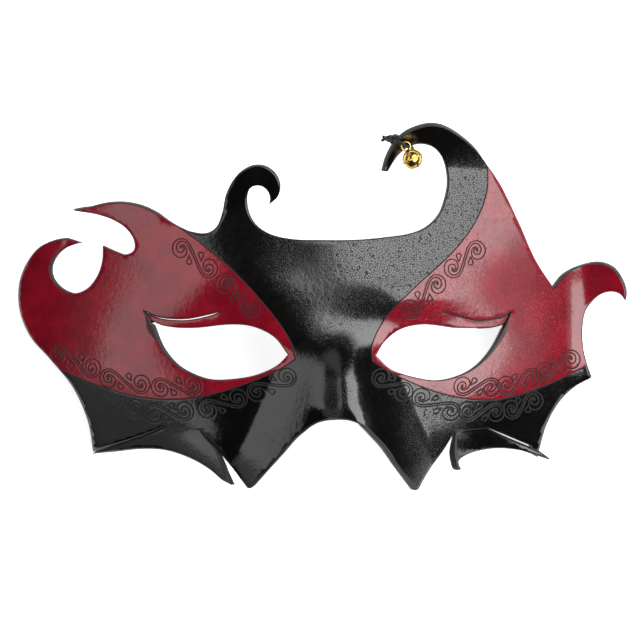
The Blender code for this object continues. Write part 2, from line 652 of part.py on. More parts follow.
def make_mask():
    """The leather as one closed mesh, its stretches joined where they share a hinge."""
    points, faces, dyes = leather_sheet()
    work = bmesh.new()
    corners = [work.verts.new(point * MM) for point in points]
    for face, dye in zip(faces, dyes):
        work.faces.new([corners[i] for i in face]).material_index = int(dye)
    bmesh.ops.remove_doubles(work, verts=work.verts, dist=0.002 * MM)
    bmesh.ops.delete(work, geom=[v for v in work.verts if not v.link_faces], context="VERTS")
    bmesh.ops.recalc_face_normals(work, faces=work.faces)
    mesh = bpy.data.meshes.new("leather_mask")
    work.to_mesh(mesh)
    work.free()
    mask = linked("leather_mask", mesh)
    boolean(mask, floor_form(), "DIFFERENCE")
    dress(mask, "black_dyed_leather", BLACK_DYE, 0.38)
    dress(mask, "red_dyed_leather", RED_DYE, 0.4)
    return mask


def strip_height(x, y):
    """Height of the front face at one point."""
    return float(sheet_height(np.array([x]), np.array([y]))[0])


def loop_place():
    """Centre of the bell's loop, in millimetres."""
    return Vector((*LOOP_CENTRE, strip_height(*LOOP_CENTRE) + LOOP_RISE))


def bell_frame():
    """Turns and places a bell made upright round its own centre, with its loop above it."""
    loop = loop_place()
    centre = Vector((*BELL_CENTRE, loop.z))
    up = (loop - centre).normalized()
    side = up.cross(Vector((0, 0, 1))).normalized()
    turn = Matrix((side, up.cross(side), up)).transposed()
    return Matrix.Translation(centre * MM) @ turn.to_4x4(), (loop - centre).length


def turned_shell(work, profile, segments):
    """A closed turned body from a closed profile of (radius, height) pairs off the axis."""
    rings = []
    for i in range(segments):
        angle = math.tau * i / segments
        ring = [work.verts.new((r * MM * math.cos(angle), r * MM * math.sin(angle), z * MM))
                for r, z in profile]
        rings.append(ring)
    for ring, following in zip(rings, rings[1:] + rings[:1]):
        for j in range(len(profile)):
            k = (j + 1) % len(profile)
            work.faces.new((ring[j], following[j], following[k], ring[k]))


def arc(radius, first, last):
    """Points of an arc round the bell's centre, as (radius, height) pairs."""
    angles = [first + (last - first) * i / BELL_ARC_STEPS for i in range(BELL_ARC_STEPS + 1)]
    return [(radius * math.cos(angle), radius * math.sin(angle)) for angle in angles]


def bell_profile():
    """Outer wall from the bottom up with its raised band, then the inner wall back down."""
    band = BELL_RADIUS + BELL_BAND
    return [
        *arc(BELL_RADIUS, BELL_BOTTOM_ANGLE, -BELL_BAND_ANGLE),
        (band, -BELL_BAND_HALF_HEIGHT),
        (band, BELL_BAND_HALF_HEIGHT),
        *arc(BELL_RADIUS, BELL_BAND_ANGLE, BELL_TOP_ANGLE),
        *arc(BELL_RADIUS - BELL_WALL, BELL_TOP_ANGLE, BELL_BOTTOM_ANGLE),
    ]


def mesh_object(name, work):
    """An object for a bmesh, with its normals pointing out."""
    bmesh.ops.recalc_face_normals(work, faces=work.faces)
    mesh = bpy.data.meshes.new(name)
    work.to_mesh(mesh)
    work.free()
    return linked(name, mesh)


def ring_mesh(work, centre, radius, wire, around=16, across=8):
    """A round wire ring in the X and Z plane."""
    rows = []
    for i in range(around):
        angle = math.tau * i / around
        row = []
        for j in range(across):
            tilt = math.tau * j / across
            reach = radius + wire * math.cos(tilt)
            row.append(work.verts.new((reach * MM * math.cos(angle), wire * MM * math.sin(tilt),
                                       (centre + reach * math.sin(angle)) * MM)))
        rows.append(row)
    for row, following in zip(rows, rows[1:] + rows[:1]):
        for j in range(across):
            k = (j + 1) % across
            work.faces.new((row[j], following[j], following[k], row[k]))


def boolean(obj, other, operation):
    """Adds a Boolean with another object, which is only a helper."""
    other.hide_render = True
    other.display_type = "WIRE"
    cut = obj.modifiers.new(other.name, "BOOLEAN")
    cut.operation = operation
    cut.object = other
    cut.solver = "EXACT"


def neck_form(reach):
    """The bell's neck, from inside its top up to the loop."""
    work = bmesh.new()
    low = BELL_RADIUS - NECK_SUNK
    height = reach - LOOP_RADIUS - low + NECK_SUNK
    middle = Matrix.Translation((0, 0, (low + height / 2) * MM))
    bmesh.ops.create_cone(work, cap_ends=True, segments=12, radius1=NECK_LOW_RADIUS * MM,
                          radius2=NECK_TOP_RADIUS * MM, depth=height * MM, matrix=middle)
    return mesh_object("bell_neck_form", work)


def slot_form(number, turn):
    """A flat block that cuts one of the two slots across the bottom of the bell."""
    work = bmesh.new()
    past = BELL_RADIUS + 1.0
    size = Matrix.Diagonal((BELL_SLOT * MM, 2 * past * MM, past * MM, 1))
    place = Matrix.Translation((0, 0, (BELL_SLOT_TOP - past / 2) * MM))
    bmesh.ops.create_cube(work, size=1, matrix=Matrix.Rotation(turn, 4, "Z") @ place @ size)
    return mesh_object(f"bell_slot_form_{number}", work)


def make_bell():
    """A hollow bell with a crossed slot below, a neck and a wire loop above."""
    frame, reach = bell_frame()
    work = bmesh.new()
    turned_shell(work, bell_profile(), BELL_SEGMENTS)
    bell = mesh_object("jingle_bell", work)
    work = bmesh.new()
    ring_mesh(work, reach, LOOP_RADIUS, LOOP_WIRE)
    added = [neck_form(reach), mesh_object("bell_loop_form", work)]
    slots = [slot_form(i + 1, turn) for i, turn in enumerate(BELL_SLOT_TURNS)]
    for shape in [bell] + added + slots:
        shape.matrix_world = frame
    for helper in added:
        boolean(bell, helper, "UNION")
    for slot in slots:
        boolean(bell, slot, "DIFFERENCE")
    dress(bell, "polished_brass", BRASS, 0.16, 1.0)
    return bell


def cord_route():
    """Centre line of the cord: over the horn, down through the loop, and back behind it.

    Across is measured over the horn strip from its middle towards the hook, and above from
    its front face.
    """
    outer = Vector((*HORN_OUTER_EDGE, strip_height(*HORN_OUTER_EDGE)))
    inner = Vector((*HORN_INNER_EDGE, strip_height(*HORN_INNER_EDGE)))
    across = (inner - outer).normalized()
    _, normals = on_surface(sheet_height, np.array([(outer + inner)[:2]]) / 2)
    above = Vector(normals[0])
    half = (inner - outer).length / 2
    behind = -LEATHER_THICKNESS - CORD_STAND_OFF

    def beside(reach, rise):
        return (outer + inner) / 2 + across * reach + above * rise

    loop = loop_place()
    return [
        beside(-half - CORD_STAND_OFF - 0.1, -0.4),
        beside(-half - 0.5, CORD_STAND_OFF + 0.2),
        loop + Vector((-1.4, 1.1, 1.6)),
        loop + Vector((-0.35, 0.3, 1.35)),
        loop + Vector((0, 0, 0.5)),
        loop + Vector((0, 0, -0.6)),
        loop + Vector((0.7, -0.2, -1.5)),
        beside(half + 1.1, 0.45),
        beside(half + 1.2, -1.9),
        beside(half + 0.5, behind - 0.1),
        beside(-half - 0.4, behind - 0.1),
        beside(-half - CORD_STAND_OFF - 0.1, -1.9),
    ]


def tube(name, points, cyclic):
    """A round cord along a smooth line, as a mesh with filled ends."""
    curve = bpy.data.curves.new(name, "CURVE")
    curve.dimensions = "3D"
    curve.bevel_depth = CORD_RADIUS * MM
    curve.bevel_resolution = 2
    curve.use_fill_caps = True
    line = smooth_curve(points, cyclic, per_span=3)
    spline = curve.splines.new("POLY")
    spline.points.add(len(line) - 1)
    spline.use_cyclic_u = cyclic
    for point, place in zip(spline.points, line):
        point.co = (*(place * MM), 1)
    guide = bpy.data.objects.new(name, curve)
    mesh = bpy.data.meshes.new_from_object(guide)
    mesh.name = name
    bpy.data.objects.remove(guide)
    return linked(name, mesh)


def make_cord():
    """The cord's loop round the horn, with its knot and two short ends, as one solid."""
    route = cord_route()
    cord = tube("bell_cord", route, True)
    knot_z = route[0].z + KNOT_RISE
    helpers = []
    for i, end in enumerate(CORD_ENDS):
        points = [(x, y, knot_z + rise) for x, y, rise in end]
        helpers.append(tube(f"cord_end_form_{i + 1}", points, False))
    for i, (x, y, radius) in enumerate(KNOT_TURNS):
        work = bmesh.new()
        place = Matrix.Translation(Vector((x, y, knot_z)) * MM)
        bmesh.ops.create_icosphere(work, subdivisions=1, radius=radius * MM, matrix=place)
        helpers.append(mesh_object(f"knot_form_{i + 1}", work))
    for helper in helpers:
        boolean(cord, helper, "UNION")
    dress(cord, "waxed_black_cord", WAXED_BLACK, 0.55)
    return cord


def stand_on_origin(objects):
    """Moves the whole mask so that the origin lies under the middle of its box."""
    bpy.context.view_layer.update()
    graph = bpy.context.evaluated_depsgraph_get()
    corners = []
    for obj in objects:
        shape = obj.evaluated_get(graph)
        corners += [shape.matrix_world @ Vector(corner) for corner in shape.bound_box]
    low = Vector(min(c[i] for c in corners) for i in range(3))
    high = Vector(max(c[i] for c in corners) for i in range(3))
    base = bpy.data.objects.new("mask_place", None)
    bpy.context.collection.objects.link(base)
    for obj in bpy.data.objects:
        if obj.type == "MESH":
            obj.parent = base
    base.location = (-(low.x + high.x) / 2, -(low.y + high.y) / 2, -low.z)


def main():
    """Builds the mask in an empty scene."""
    for obj in list(bpy.data.objects):
        bpy.data.objects.remove(obj, do_unlink=True)
    bpy.context.scene.unit_settings.system = "METRIC"
    parts = [make_mask(), make_bell(), make_cord()]
    stand_on_origin(parts)


main()
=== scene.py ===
import logging
import math
from collections.abc import Callable, Sequence
from dataclasses import dataclass, field
from enum import Enum

import bmesh
import bpy
import numpy as np
from mathutils import Matrix, Vector
from mathutils.geometry import delaunay_2d_cdt


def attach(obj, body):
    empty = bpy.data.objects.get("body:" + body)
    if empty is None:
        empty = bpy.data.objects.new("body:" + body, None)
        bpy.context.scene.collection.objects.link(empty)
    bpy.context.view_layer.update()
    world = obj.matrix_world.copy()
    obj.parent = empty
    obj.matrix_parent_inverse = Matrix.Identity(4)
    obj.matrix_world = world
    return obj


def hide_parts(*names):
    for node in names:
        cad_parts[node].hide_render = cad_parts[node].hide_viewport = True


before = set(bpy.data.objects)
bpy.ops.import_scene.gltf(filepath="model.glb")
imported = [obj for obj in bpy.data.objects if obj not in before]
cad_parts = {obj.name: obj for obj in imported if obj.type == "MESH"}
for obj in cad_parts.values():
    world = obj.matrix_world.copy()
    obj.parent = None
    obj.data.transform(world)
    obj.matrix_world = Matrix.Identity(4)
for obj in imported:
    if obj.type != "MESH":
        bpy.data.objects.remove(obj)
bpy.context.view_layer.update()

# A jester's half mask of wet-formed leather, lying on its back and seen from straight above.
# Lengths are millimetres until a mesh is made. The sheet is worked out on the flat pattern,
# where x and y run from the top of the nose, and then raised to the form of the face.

LOG = logging.getLogger("jester_mask")
MM = 0.001
Array = np.ndarray
Line = Sequence[tuple[float, ...]]

# Where the top of the nose lies from the middle of the object
PATTERN_ORIGIN = (4.128, -11.708)

# How close the back of the sheet comes to the floor
FLOOR_GAP = 0.02

# What the leather's mesh tells its finish at each point; rim carries the dark band along the cut
# edges, which is the edge's black dye and, in listed zones, painted shade
MARKS = ("cut", "red", "rim", "grain")


class Side(Enum):
    """Which way a scroll turns."""

    LEFT = 1
    RIGHT = -1


# Small shared sums


def soft_ramp(value: Array, blend: float) -> Array:
    """0 below -blend, the value itself above blend, and a parabola between them."""
    middle = (value + blend) ** 2 / (4 * blend)
    return np.where(value <= -blend, 0.0, np.where(value >= blend, value, middle))


def soft_step(low: float, high: float, value: Array) -> Array:
    """0 below low and 1 above high, with the cubic 3t² - 2t³ between them."""
    part = np.clip((value - low) / (high - low), 0, 1)
    return part * part * (3 - 2 * part)


def smooth_curve(points: Line, closed: bool = False, per_span: int = 24) -> Array:
    """A centripetal Catmull-Rom curve through the points, finely sampled.

    Args:
        points: the points that it passes through, in any number of dimensions.
        closed: whether it runs on from the last point to the first.
        per_span: how many samples there are from one point to the next.

    Returns:
        The samples as rows. A closed curve doesn't repeat its first.
    """
    points = np.asarray(points, float)
    if closed:
        ring = np.vstack([points[-1], points, points[:2]])
    else:
        ring = np.vstack([2 * points[0] - points[1], points, 2 * points[-1] - points[-2]])
    spans = []
    for p0, p1, p2, p3 in zip(ring, ring[1:], ring[2:], ring[3:]):
        t1 = np.linalg.norm(p1 - p0) ** 0.5
        t2 = t1 + np.linalg.norm(p2 - p1) ** 0.5
        t3 = t2 + np.linalg.norm(p3 - p2) ** 0.5
        t = np.linspace(t1, t2, per_span, endpoint=False)[:, None]
        a1 = (t1 - t) / t1 * p0 + t / t1 * p1
        a2 = (t2 - t) / (t2 - t1) * p1 + (t - t1) / (t2 - t1) * p2
        a3 = (t3 - t) / (t3 - t2) * p2 + (t - t2) / (t3 - t2) * p3
        b1 = (t2 - t) / t2 * a1 + t / t2 * a2
        b2 = (t3 - t) / (t3 - t1) * a2 + (t - t1) / (t3 - t1) * a3
        spans.append((t2 - t) / (t2 - t1) * b1 + (t - t1) / (t2 - t1) * b2)
    if not closed:
        spans.append(points[-1:])
    return np.vstack(spans)


def ringed(points: Array) -> Array:
    """The points of a ring with the first one once more at the end."""
    return np.vstack([points, points[:1]])


def unit(rows: Array) -> Array:
    """The rows as vectors one long."""
    return rows / np.linalg.norm(rows, axis=1)[:, None]


def evenly(line: Array, step: float) -> Array:
    """The line with its points spaced evenly, at most a step apart, and both ends kept."""
    lengths = np.concatenate([[0], np.cumsum(np.linalg.norm(np.diff(line, axis=0), axis=1))])
    count = max(1, math.ceil(lengths[-1] / step))
    at = np.linspace(0, lengths[-1], count + 1)
    return np.column_stack([np.interp(at, lengths, line[:, i]) for i in range(line.shape[1])])


def sideways(line: Array) -> Array:
    """Unit vectors square to a flat line, on its left."""
    along = unit(np.gradient(line, axis=0))
    return np.column_stack([-along[:, 1], along[:, 0]])


def in_blocks(points: Array, work: Callable[[Array], Array], size: int = 2000) -> Array:
    """A sum over points done a block at a time, so that it stays small in memory."""
    return np.concatenate([work(points[i:i + size]) for i in range(0, len(points), size)])


def inside(points: Array, ring: Array) -> Array:
    """Which flat points lie inside a closed ring, by counting the sides a ray crosses."""
    ax, ay = ring[:, 0], ring[:, 1]
    bx, by = np.roll(ax, -1), np.roll(ay, -1)

    def crossed(block: Array) -> Array:
        x, y = block[:, 0][:, None], block[:, 1][:, None]
        spans = (ay > y) != (by > y)
        with np.errstate(divide="ignore", invalid="ignore"):
            crossing = ax + (y - ay) / (by - ay) * (bx - ax)
        return (spans & (x < crossing)).sum(axis=1) % 2 == 1

    return in_blocks(points, crossed)


def distance_to(points: Array, line: Array, reach: float) -> Array:
    """Distance from each flat point to the nearest segment of a line.

    Args:
        points: the points as rows.
        line: the line's points as rows.
        reach: the largest distance that matters, which is given to every point past it.
    """
    found = np.full(len(points), reach, float)
    low, high = line.min(axis=0) - reach, line.max(axis=0) + reach
    near = np.nonzero(((points > low) & (points < high)).all(axis=1))[0]
    if not len(near):
        return found
    start, along = line[:-1], np.diff(line, axis=0)
    length = np.maximum((along**2).sum(axis=1), 1e-12)

    def nearest(block: Array) -> Array:
        offset = block[:, None] - start
        part = np.clip((offset * along).sum(axis=2) / length, 0, 1)
        return np.linalg.norm(offset - part[..., None] * along, axis=2).min(axis=1)

    found[near] = np.minimum(in_blocks(points[near], nearest), reach)
    return found


def nearest_of(points: Array, lines: Sequence[Array], reach: float) -> Array:
    """Distance from each flat point to the nearest of several lines, at most reach."""
    found = np.full(len(points), reach, float)
    for line in lines:
        found = np.minimum(found, distance_to(points, line, reach))
    return found


# The form of the face


@dataclass(frozen=True)
class Swell:
    """One swell of the form: rise · exp(-((x - cx)/sx)² - ((y - cy)/sy)²)."""

    rise: float
    centre: tuple[float, float]
    spread: tuple[float, float]

    def height(self, x: Array, y: Array) -> Array:
        """The swell's height at flat points."""
        across = (x - self.centre[0]) / self.spread[0]
        along = (y - self.centre[1]) / self.spread[1]
        return self.rise * np.exp(-(across**2) - along**2)

    def pair(self, x: Array, y: Array) -> Array:
        """The same swell on both halves of the face."""
        return self.height(x, y) + self.height(-x, y)


@dataclass(frozen=True)
class Lean:
    """A rim that leans forward: a slope past a bend, faded over a range of x."""

    rise_over_run: float
    bend_y: float
    blend: float
    fade_x: tuple[float, float]

    def height(self, y: Array) -> Array:
        """What the rim rises, before it fades."""
        return self.rise_over_run * soft_ramp(y - self.bend_y, self.blend)

    def fade(self, x: Array) -> Array:
        """0 to the left of the range and 1 to its right."""
        return soft_step(*self.fade_x, x)


@dataclass(frozen=True)
class FaceForm:
    """The back of the sheet over the floor: a vault, with a tent for a nose and soft swells."""

    vault: float = 36.0
    crown_y: float = 12.0
    reaches: tuple[float, float] = (103.0, 90.3)
    tapers: tuple[float, float] = (0.43, 0.2)
    taper_y: tuple[float, float] = (-10.0, 5.0)
    horn_flare: tuple[float, float, float] = (0.5, 18.0, 6.0)
    side_tilt: float = 0.04
    falls: tuple[float, float] = (0.2, 0.12)
    fall_span: float = 50.0
    inner_brows: tuple[Swell, Swell] = (
        Swell(2.6, (24.5, 15), (12, 6)),
        Swell(1.0, (-22, 18), (12, 8)),
    )
    pairs: tuple[Swell, ...] = (
        Swell(1.2, (42, 20), (20, 9)),
        Swell(-2.0, (40, -2), (22, 10)),
        Swell(1.6, (37, -36), (14, 12)),
    )
    right_rim: tuple[float, float, float] = (1.15, 86.0, 5.0)
    right_rim_y: tuple[float, float] = (-30, -16)
    nose_root: Swell = Swell(-1.0, (3, 7), (11, 8))
    nose_x: float = 0.6
    nose_half_width: float = 15.5
    nose_spread: tuple[float, float, float] = (0.44, 5.0, 3.0)
    nose_ridge_radius: float = 7.0
    nose_crease_blend: float = 1.5
    nose_flank: tuple[float, float, float] = (0.52, 0.18, 5.0)
    nose_rise_y: tuple[float, float] = (-10, 15)
    nose_tip: tuple[float, float, float, float] = (0.5, 23.5, 1.5, 7.0)
    tall_horn: Lean = Lean(0.85, 61, 5, (2, 8))
    curl_horn: Lean = Lean(0.45, 47, 4, (-48, -43))
    left_rims: tuple[Lean, ...] = (
        Lean(0.4, 41, 5, (-62, -54)),
        Lean(0.4, 28, 4, (-96, -86)),
    )
    hook_twist: tuple[float, float, float] = (0.35, 25.0, 4.0)
    hook_twist_y: tuple[float, float] = (52, 58)

    def nose(self, x: Array, y: Array) -> Array:
        """Two flat flanks, slope · (half width - √(off² + ridge²)), that rise to the tip."""
        spread, spread_y, spread_blend = self.nose_spread
        slope, bias, bias_width = self.nose_flank
        curl, tip_y, tip_blend, tip_width = self.nose_tip
        half = self.nose_half_width + spread * soft_ramp(spread_y - y, spread_blend)
        off = x - self.nose_x
        flank = half - np.hypot(off, self.nose_ridge_radius)
        tent = (slope + bias * np.tanh(off / bias_width)) * soft_ramp(flank, self.nose_crease_blend)
        turned = curl * soft_ramp(-y - tip_y, tip_blend) * np.exp(-((off / tip_width) ** 4))
        return tent * soft_step(*self.nose_rise_y, -y) - turned

    def lean(self, x: Array, y: Array) -> Array:
        """What the horns and the left rims rise as they lean towards the viewer."""
        tall = self.tall_horn.fade(x)
        rate, twist_x, twist_blend = self.hook_twist
        twist = rate * soft_ramp(twist_x - x, twist_blend) * soft_step(*self.hook_twist_y, y)
        lean = (self.tall_horn.height(y) + twist) * tall
        lean += self.curl_horn.height(y) * self.curl_horn.fade(x) * (1 - tall)
        for rim in self.left_rims:
            lean += rim.height(y) * (1 - rim.fade(x))
        return lean

    def height(self, x: Array, y: Array) -> Array:
        """vault · (1 - (x/reach)² - fall · ((y - crown)/span)²), with nose, swells and leans."""
        below = soft_ramp(self.taper_y[0] - y, self.taper_y[1])
        flare, flare_y, flare_blend = self.horn_flare
        left = self.reaches[0] - self.tapers[0] * below
        right = self.reaches[1] - self.tapers[1] * below
        right = right + flare * soft_ramp(y - flare_y, flare_blend)
        reach = np.where(x < 0, left, right)
        fall = np.where(y < self.crown_y, *self.falls) * ((y - self.crown_y) / self.fall_span) ** 2
        height = self.vault * (1 - (x / reach) ** 2 - fall) - self.side_tilt * x
        height += self.nose(x, y)
        for swell in (self.nose_root, *self.inner_brows):
            height += swell.height(x, y)
        for swell in self.pairs:
            height += swell.pair(x, y)
        curl, rim_x, rim_blend = self.right_rim
        height += curl * soft_ramp(x - rim_x, rim_blend) * soft_step(*self.right_rim_y, y)
        return height + self.lean(x, y)


# The cut pattern: each stroke starts where the one before it ends


@dataclass(frozen=True)
class Pattern:
    """The outline, the slits, the eyes and the dye lines, as drawn on the flat hide."""

    start: tuple[float, float] = (-84.8, -39.5)
    outline: tuple[Line, ...] = (
        ((-86.7, -28.5), (-92, -16.6), (-100, -6.7), (-107, 1.3), (-110.7, 10.5),
         (-110.8, 20), (-108, 27.3), (-103, 32.9), (-95, 35.3), (-88.4, 34.2)),
        ((-93, 32.6), (-97.5, 29.7), (-99.8, 25.5), (-99, 21.5), (-95.5, 17.9),
         (-91, 16.4), (-86.5, 18.2), (-83, 22.8), (-81.4, 28), (-81.2, 33.1)),
        ((-77, 31.2), (-73, 30), (-70.2, 31.5), (-70.3, 35.2), (-73.2, 39.2),
         (-77.5, 41.9), (-83, 43.8), (-90.7, 45.1)),
        ((-86.5, 46.3), (-80, 47.8), (-74, 48), (-68, 46.8), (-62, 44.2), (-55, 40.1),
         (-50, 38), (-44.5, 37.5), (-41.2, 39.6), (-39.2, 44.5), (-37.7, 51.2),
         (-34.2, 57.2), (-30.1, 60.1), (-27, 60.8), (-23.8, 60.2), (-20.5, 57.7),
         (-18.8, 53.6), (-19.6, 50), (-22.9, 47.1)),
        ((-22.4, 49), (-23.2, 51.8), (-25.8, 53.7), (-28.9, 53.2), (-30.4, 50.6),
         (-30.3, 45.9), (-27.6, 40.8), (-22.5, 37.2), (-15, 35.4), (-4, 35),
         (8, 35.1), (18, 36), (26.6, 37.3), (32.2, 39.5), (36.6, 43.6), (38.9, 49),
         (40, 56), (38.7, 62), (35.2, 66.7), (31, 68.2), (26.6, 67.4), (22.7, 64.4),
         (18.9, 58.8)),
        ((17.4, 59),),
        ((18.7, 63.2), (21.4, 68), (25, 71.7), (29, 73.7), (33.5, 74.7), (38, 74.2),
         (42.7, 71.9), (47.4, 68.4), (50.9, 64.9), (54, 60.8), (58.1, 55), (65.1, 40.8),
         (70.7, 28.4), (77.3, 18.1)),
        ((81.2, 22.7), (86.1, 25.6), (91.7, 27), (97.3, 25.2), (101.1, 20.5),
         (102.4, 16.5), (102.1, 13.7)),
        ((100.3, 16), (96.8, 16.9), (92, 15.1), (88.6, 10.8), (87.3, 4), (87.5, -2),
         (88.6, -8), (90.1, -13.5)),
        ((84.5, -16.8), (79.1, -22.4), (74.9, -30.1), (72.7, -37.6), (71.8, -41.3)),
        ((70.5, -40.6), (69.6, -37.4)),
        ((61.6, -34), (53.7, -30.8)),
        ((42.5, -31.9),),
        ((39.2, -37.6), (33.6, -45.7), (31.2, -49.7), (30, -52), (28.7, -52.7),
         (27.6, -51.4), (25, -48), (21.4, -43.1), (17.9, -38), (14, -33.6),
         (10.4, -30.2), (6, -28.4), (0.8, -28), (-4.4, -28.7), (-9, -30.9),
         (-13.6, -34.6), (-18.6, -40.4), (-23.4, -45.7), (-27.2, -49.9),
         (-28.8, -51.6), (-30, -52.2), (-31.4, -50.8), (-35, -45.9), (-41.4, -38),
         (-47.3, -31.2)),
        ((-59.2, -30.5),),
        ((-67, -33.5), (-75, -36.3), (-84.8, -39.5)),
    )
    left_hinge: tuple[tuple[float, float], ...] = ((-59.2, -30.5), (-47.3, -31.2))
    right_hinge: tuple[tuple[float, float], ...] = ((42.5, -31.9), (53.7, -30.8))
    left_flap: tuple[Line, ...] = (
        ((-45, -34.3), (-41.5, -38.2), (-39, -43), (-37.4, -47.5), (-36.2, -50.7)),
        ((-39.5, -49), (-43.5, -45.6), (-50, -41.8), (-59, -38.8), (-68, -38.4),
         (-77, -39.4), (-84.9, -40.1)),
        ((-75, -36.5), (-67, -33.75), (-59.2, -30.5)),
    )
    right_flap: tuple[Line, ...] = (
        ((61.6, -34.4), (72.5, -39.1), (76.1, -41.7)),
        ((72.2, -40.6), (65.1, -38.7), (58.1, -38.1), (52.2, -38.7), (46.6, -40.4),
         (43.9, -42.6), (44.9, -45.3)),
        ((43.8, -45.6), (42.6, -42.4), (42, -38.4), (42.5, -31.9)),
    )
    eye_corners: tuple[tuple[float, float], ...] = ((-16.3, -5.1), (14.9, -5.3))
    eyes: tuple[tuple[Line, ...], ...] = (
        (((-20.5, 0.5), (-25, 3.3), (-30, 4.9), (-36, 5.3), (-50, 4.1), (-57, 4.5),
          (-61, 5.4), (-63.65, 6.75), (-66.4, 9.95)),
         ((-64, 8.75), (-61, 7.62), (-52, 7), (-45, 8.1), (-39, 9.9)),
         ((-45, 8.45), (-52, 7.2), (-61, 7.76), (-64, 8.92), (-66.7, 10.25)),
         ((-63.6, 6.1), (-62.2, 2.5), (-59.9, -2.6), (-55, -8.5), (-50, -11.6), (-44, -13.7),
          (-37.5, -13.8), (-27.5, -12.2), (-20, -8.8), (-16.3, -5.1))),
        (((17.7, -0.7), (23, 3.5), (30.8, 5.3), (43.7, 4.1), (52.3, 4.3), (57, 4.7),
          (59.7, 5.7), (61.8, 9.45)),
         ((60, 8.45), (57.3, 7.42), (50.8, 6.7), (45.1, 7.8), (37.2, 9.7)),
         ((45.1, 7.86), (50.8, 6.76), (57.3, 7.5), (60, 8.6), (62.2, 9.95)),
         ((59.2, 3.5), (55.7, -2.8), (51.1, -8.2), (45.9, -11.7), (37.1, -14.1),
          (28.4, -13), (20.3, -10.2), (14.9, -5.3))),
    )
    dye_lines: tuple[Line, ...] = (
        ((-54.5, 39.7), (-45, 32.7), (-33, 22), (-22.5, 10.3), (-16.1, 1.3), (-14.2, -3.2),
         (-13.4, -6.7)),
        ((-13.4, -6.7), (-19.6, -10.5), (-30, -15), (-42, -18.8), (-54, -20.7), (-68, -20),
         (-84, -15.5), (-96.2, -10.4)),
        ((53.8, 61.4), (53.5, 52), (49.8, 42), (42.4, 31.7), (27.2, 17.4), (18, 7.8),
         (13.3, -1.9), (13.5, -7.2)),
        ((13.5, -7.2), (20.3, -11.6), (37.1, -18.6), (51.1, -21), (60.6, -20.3),
         (73.9, -16.1), (88.7, -9.3)),
    )
    beyond_left: Line = ((-150, -10.4), (-150, 100), (-54.5, 100))
    beyond_right: Line = ((150, -9.3), (150, 100), (56, 100))
    left_scrolls: tuple[Line, ...] = (
        ((-53.2, 32.2), (-43.8, 24.9)), ((-37.8, 19.6), (-28.9, 10.9)),
        ((-95.9, -4.9), (-85.2, -10)), ((-78.9, -13.3), (-67.6, -15.8)),
        ((-60.6, -16.5), (-49.4, -16.1)), ((-80.9, -21.7), (-69.7, -24.4)),
        ((-62.8, -25.7), (-52.2, -25.2)), ((-44.1, -23.9), (-33.6, -20.6)),
        ((-27, -18), (-16.4, -13.2)),
    )
    right_scrolls: tuple[Line, ...] = (
        ((49.7, 31.5), (41.8, 25)), ((35.8, 19.6), (27, 10.6)),
        ((45.2, -16.4), (55, -16.5)), ((60.7, -16.2), (69.3, -13.3)),
        ((74.4, -11.2), (83.1, -6.8)), ((16.5, -13.4), (24.3, -17.9)),
        ((30.5, -20.3), (41, -24.9)), ((46.9, -25.2), (56.6, -25)),
        ((62.6, -24.4), (70, -21.2)),
    )

    def ring(self, start: tuple[float, float], strokes: Sequence[Line], step: float) -> Array:
        """One closed ring through strokes that meet in sharp corners, evenly sampled."""
        line = [np.array([start], float)]
        for stroke in strokes:
            through = [tuple(line[-1][-1]), *stroke]
            curve = smooth_curve(through) if len(through) > 2 else np.array(through, float)
            line.append(evenly(curve, step)[1:])
        ring = np.vstack(line)
        return ring[:-1] if np.allclose(ring[0], ring[-1], atol=1e-6) else ring

    def red_rings(self) -> list[Array]:
        """Rings round the two red areas, carried past the sheet's edge."""
        curves = [smooth_curve(line) for line in self.dye_lines]
        left = np.vstack([curves[0], curves[1], self.beyond_left])
        right = np.vstack([curves[2], curves[3], self.beyond_right])
        return [left, right]


# The engraving


